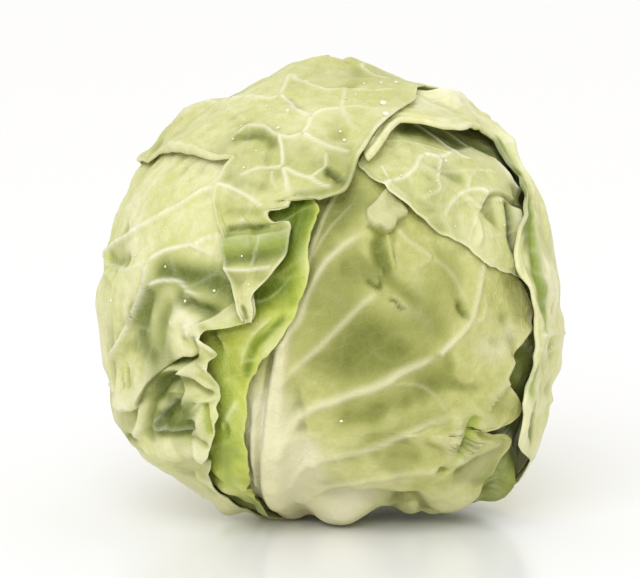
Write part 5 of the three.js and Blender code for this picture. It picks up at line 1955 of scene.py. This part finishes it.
    return WrapperLeaf(
        name="leaf_crown",
        stations=stations,
        depth=0.5,
        columns=138,
        rows=315,
        dense=(0.6, 1.0),
        finish=LeafFinish(
            "crown_leaf_skin", light=rgb(216, 215, 158), green=rgb(190, 192, 110), deep=rgb(66, 82, 10),
            fresh=rgb(160, 178, 70),
        ),
        bow=2.0,
        ruffle=0.7,
        waves=7.0,
        teeth=0.35,
        scallop=0.005,
        hollow_shade=0.6,
        pucker=0.2,
        midrib_height=1.7,
        midrib_width=2.6,
        midrib_pale=0.3,
        left=Edge(
            lift=[0, 0, 0, 0, 0, 0, -2, -3, -1, 0.5, 0.5],
            roll=[0.5, 0.5, 0.5, 0.5, 0.5, 0.5, 0.5, 0.5, 0.5, 0.5, 0.5, 0.5, 0.5, 0.9, 0.5, 0.5],
            turn=110.0,
        ),
        right=Edge(
            lift=[0, 0, 0, 0, 0, 0, 0, 0, 0, -1.5, -0.5, 2.2, 0.8, 0.5, 0.5, 0.5],
            roll=[0.5, 0.5, 0.5, 0.5, 0.5, 0.5, 0.5, 0.5, 0.5, 0.5, 0.8, 2.2, 1.2, 0.5, 0.5, 0.5],
            turn=150.0,
        ),
        ribs=Ribs(count=17.0, rise=0.12, last=0.5),
        net=0.35,
        creases=creases,
        veins=veins,
        patches=patches,
        seed=17,
    )


@dataclass
class Drops:
    """Small drops of water that stand on the leaves.

    Attributes:
        places: Where each drop is, and its half width in millimetres.
        flatness: How high a drop is, as a share of its half width.
    """

    places: list[tuple[float, float, float]]
    flatness: float = 0.5

    def build(self, reach: ReachMap) -> bpy.types.Object:
        """Sets the drops on the finished head.

        Args:
            reach: The map of the whole head.

        Returns:
            All drops as one piece.
        """
        shape = bmesh.new()
        rng = np.random.default_rng(5)
        for longitude, latitude, size in self.places:
            out = direction(longitude, latitude)
            place = Vector(out * reach.top(out) * MM) + Vector((0.0, 0.0, CENTRE_HEIGHT * MM))
            turn = Vector(out).to_track_quat("Z", "Y").to_matrix().to_4x4()
            wide, long, tall = size, size * rng.uniform(0.8, 1.25), size * self.flatness
            form = Matrix.Translation(place) @ turn @ Matrix.Diagonal((wide * MM, long * MM, tall * MM, 1.0))
            bmesh.ops.create_icosphere(shape, subdivisions=2, radius=1.0, matrix=form)
        piece = placed("water_drops", shape, self.water())
        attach(piece, "root")
        return piece

    @staticmethod
    def water() -> bpy.types.Material:
        """Makes the glossy water. It is opaque, and its pale colour is a painted glint.

        Returns:
            The finished material.
        """
        shader = Shader("water")
        tone = shader.noise(shader.place(), 60.0, 1.0)
        # Painted glint: an opaque pale colour stands in for the clear water's glints.
        shader.set(Base_Color=shader.mix(tone, rgb(226, 228, 186), rgb(240, 240, 214)))
        shader.set(Roughness=0.04, Specular_IOR_Level=0.6, IOR=1.33, Coat_Weight=1.0, Coat_Roughness=0.02)
        return shader.material


@dataclass
class Studio:
    """A pale floor, soft lights and a camera in front of the head.

    Attributes:
        distance: From the camera to the head's centre, in millimetres.
        elevation: How far above level the camera stands, in degrees.
        image_width: The width of the picture in pixels.
        image_height: Its height in pixels.
        pixel: What one pixel covers at the head's centre, in millimetres.
        centre_pixel: The pixel at which the head's centre shows.
        sensor: The width of the camera's sensor, in millimetres.
        view_depth: How far the camera sees, in metres.
        floor_size: The floor's side, in millimetres.
        floor_colour: The floor's colour.
        floor_roughness: How matte the floor is.
        floor_shine: How strongly it mirrors what stands on it.
        key_from: The direction that the light comes from.
        key_power: Its strength.
        key_spread: How broad it looks from the head, in degrees.
        key_colour: Its colour.
        sky_colour: The colour of the soft light from all round.
        sky_power: Its strength.
    """

    distance: float = 1300.0
    elevation: float = 8.0
    image_width: int = 640
    image_height: int = 578
    pixel: float = 0.385
    centre_pixel: tuple[float, float] = (332.5, 291.0)
    sensor: float = 36.0
    view_depth: float = 50.0
    floor_size: float = 40000.0
    floor_colour: Colour = rgb(250, 250, 248)
    floor_roughness: float = 0.22
    floor_shine: float = 0.8
    key_from: tuple[float, float, float] = (-0.18, -0.75, 0.64)
    key_power: float = 1.9
    key_spread: float = 45.0
    key_colour: tuple[float, float, float] = (0.76, 0.77, 1.0)
    sky_colour: Colour = (1.0, 0.99, 0.94, 1.0)
    sky_power: float = 0.86

    def camera(self) -> None:
        """Places the camera and makes it the scene's own."""
        lens = self.sensor * self.distance / (self.image_width * self.pixel)
        data = bpy.data.cameras.new("camera")
        data.lens, data.sensor_width, data.sensor_fit = lens, self.sensor, "HORIZONTAL"
        data.clip_end = self.view_depth
        camera = bpy.data.objects.new("camera", data)
        tilt = math.radians(self.elevation)
        back = Vector((0.0, -math.cos(tilt), math.sin(tilt)))
        up = Vector((0.0, math.sin(tilt), math.cos(tilt)))
        right = Vector((1.0, 0.0, 0.0))
        aside = (self.image_width / 2.0 - self.centre_pixel[0]) * self.pixel
        above = (self.centre_pixel[1] - self.image_height / 2.0) * self.pixel
        centre = Vector((0.0, 0.0, CENTRE_HEIGHT))
        aim = centre + right * aside + up * above
        camera.location = (aim + back * self.distance) * MM
        camera.rotation_euler = (math.radians(90.0) - tilt, 0.0, 0.0)
        bpy.context.scene.collection.objects.link(camera)
        bpy.context.scene.camera = camera

    def light(self) -> None:
        """Adds one broad, soft light from above, so far off that the whole floor has the same."""
        data = bpy.data.lights.new("key", "SUN")
        data.energy, data.angle = self.key_power, math.radians(self.key_spread)
        data.color = self.key_colour
        lamp = bpy.data.objects.new("key", data)
        lamp.rotation_euler = Vector(self.key_from).to_track_quat("Z", "Y").to_euler()
        bpy.context.scene.collection.objects.link(lamp)

    def floor(self) -> None:
        """Lays the floor."""
        plane = bmesh.new()
        bmesh.ops.create_grid(plane, x_segments=1, y_segments=1, size=self.floor_size / 2.0 * MM)
        shader = Shader("floor_white")
        shader.set(Base_Color=self.floor_colour, Roughness=self.floor_roughness)
        shader.set(Specular_IOR_Level=self.floor_shine)
        floor = placed("floor", plane, shader.material)

    def build(self) -> None:
        """Sets up the whole studio."""
        scene = bpy.context.scene
        scene.view_settings.view_transform = "Standard"
        world = bpy.data.worlds.new("studio")
        world.use_nodes = True
        background = world.node_tree.nodes["Background"]
        background.inputs["Color"].default_value = self.sky_colour
        background.inputs["Strength"].default_value = self.sky_power
        scene.world = world
        self.camera()
        self.floor()
        self.light()


def main() -> None:
    """Builds the studio and the cabbage, and reports each piece."""
    logging.basicConfig(level=logging.INFO, format="%(message)s")
    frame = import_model()
    Studio().build()
    stem_skin = LeafFinish("stalk_skin", light=rgb(226, 226, 190), green=rgb(206, 208, 160))
    heart_skin = LeafFinish("heart_skin", light=rgb(190, 196, 120), green=rgb(160, 170, 92))
    for node, finish in (("stem", stem_skin), ("heart", heart_skin)):
        skin = frame["nodes"][node]
        skin.data.materials.clear()
        skin.data.materials.append(finish.material())
        LOG.info("%s: dressed as it is", node)
    reach = ReachMap(MAP_ROWS, heart_radius)
    wrappers = [
        right_low_leaf(),
        front_leaf(),
        left_front_leaf(),
        right_shoulder_leaf(),
        left_leaf(),
        right_leaf(),
        crown_leaf(),
    ]
    for leaf in wrappers:
        piece = leaf.build(reach)
        LOG.info("%s: %d points", piece.name, len(piece.data.vertices))
    drops = Drops(DROP_PLACES).build(reach)
    LOG.info("%s: %d points", drops.name, len(drops.data.vertices))


if __name__ == "__main__":
    main()
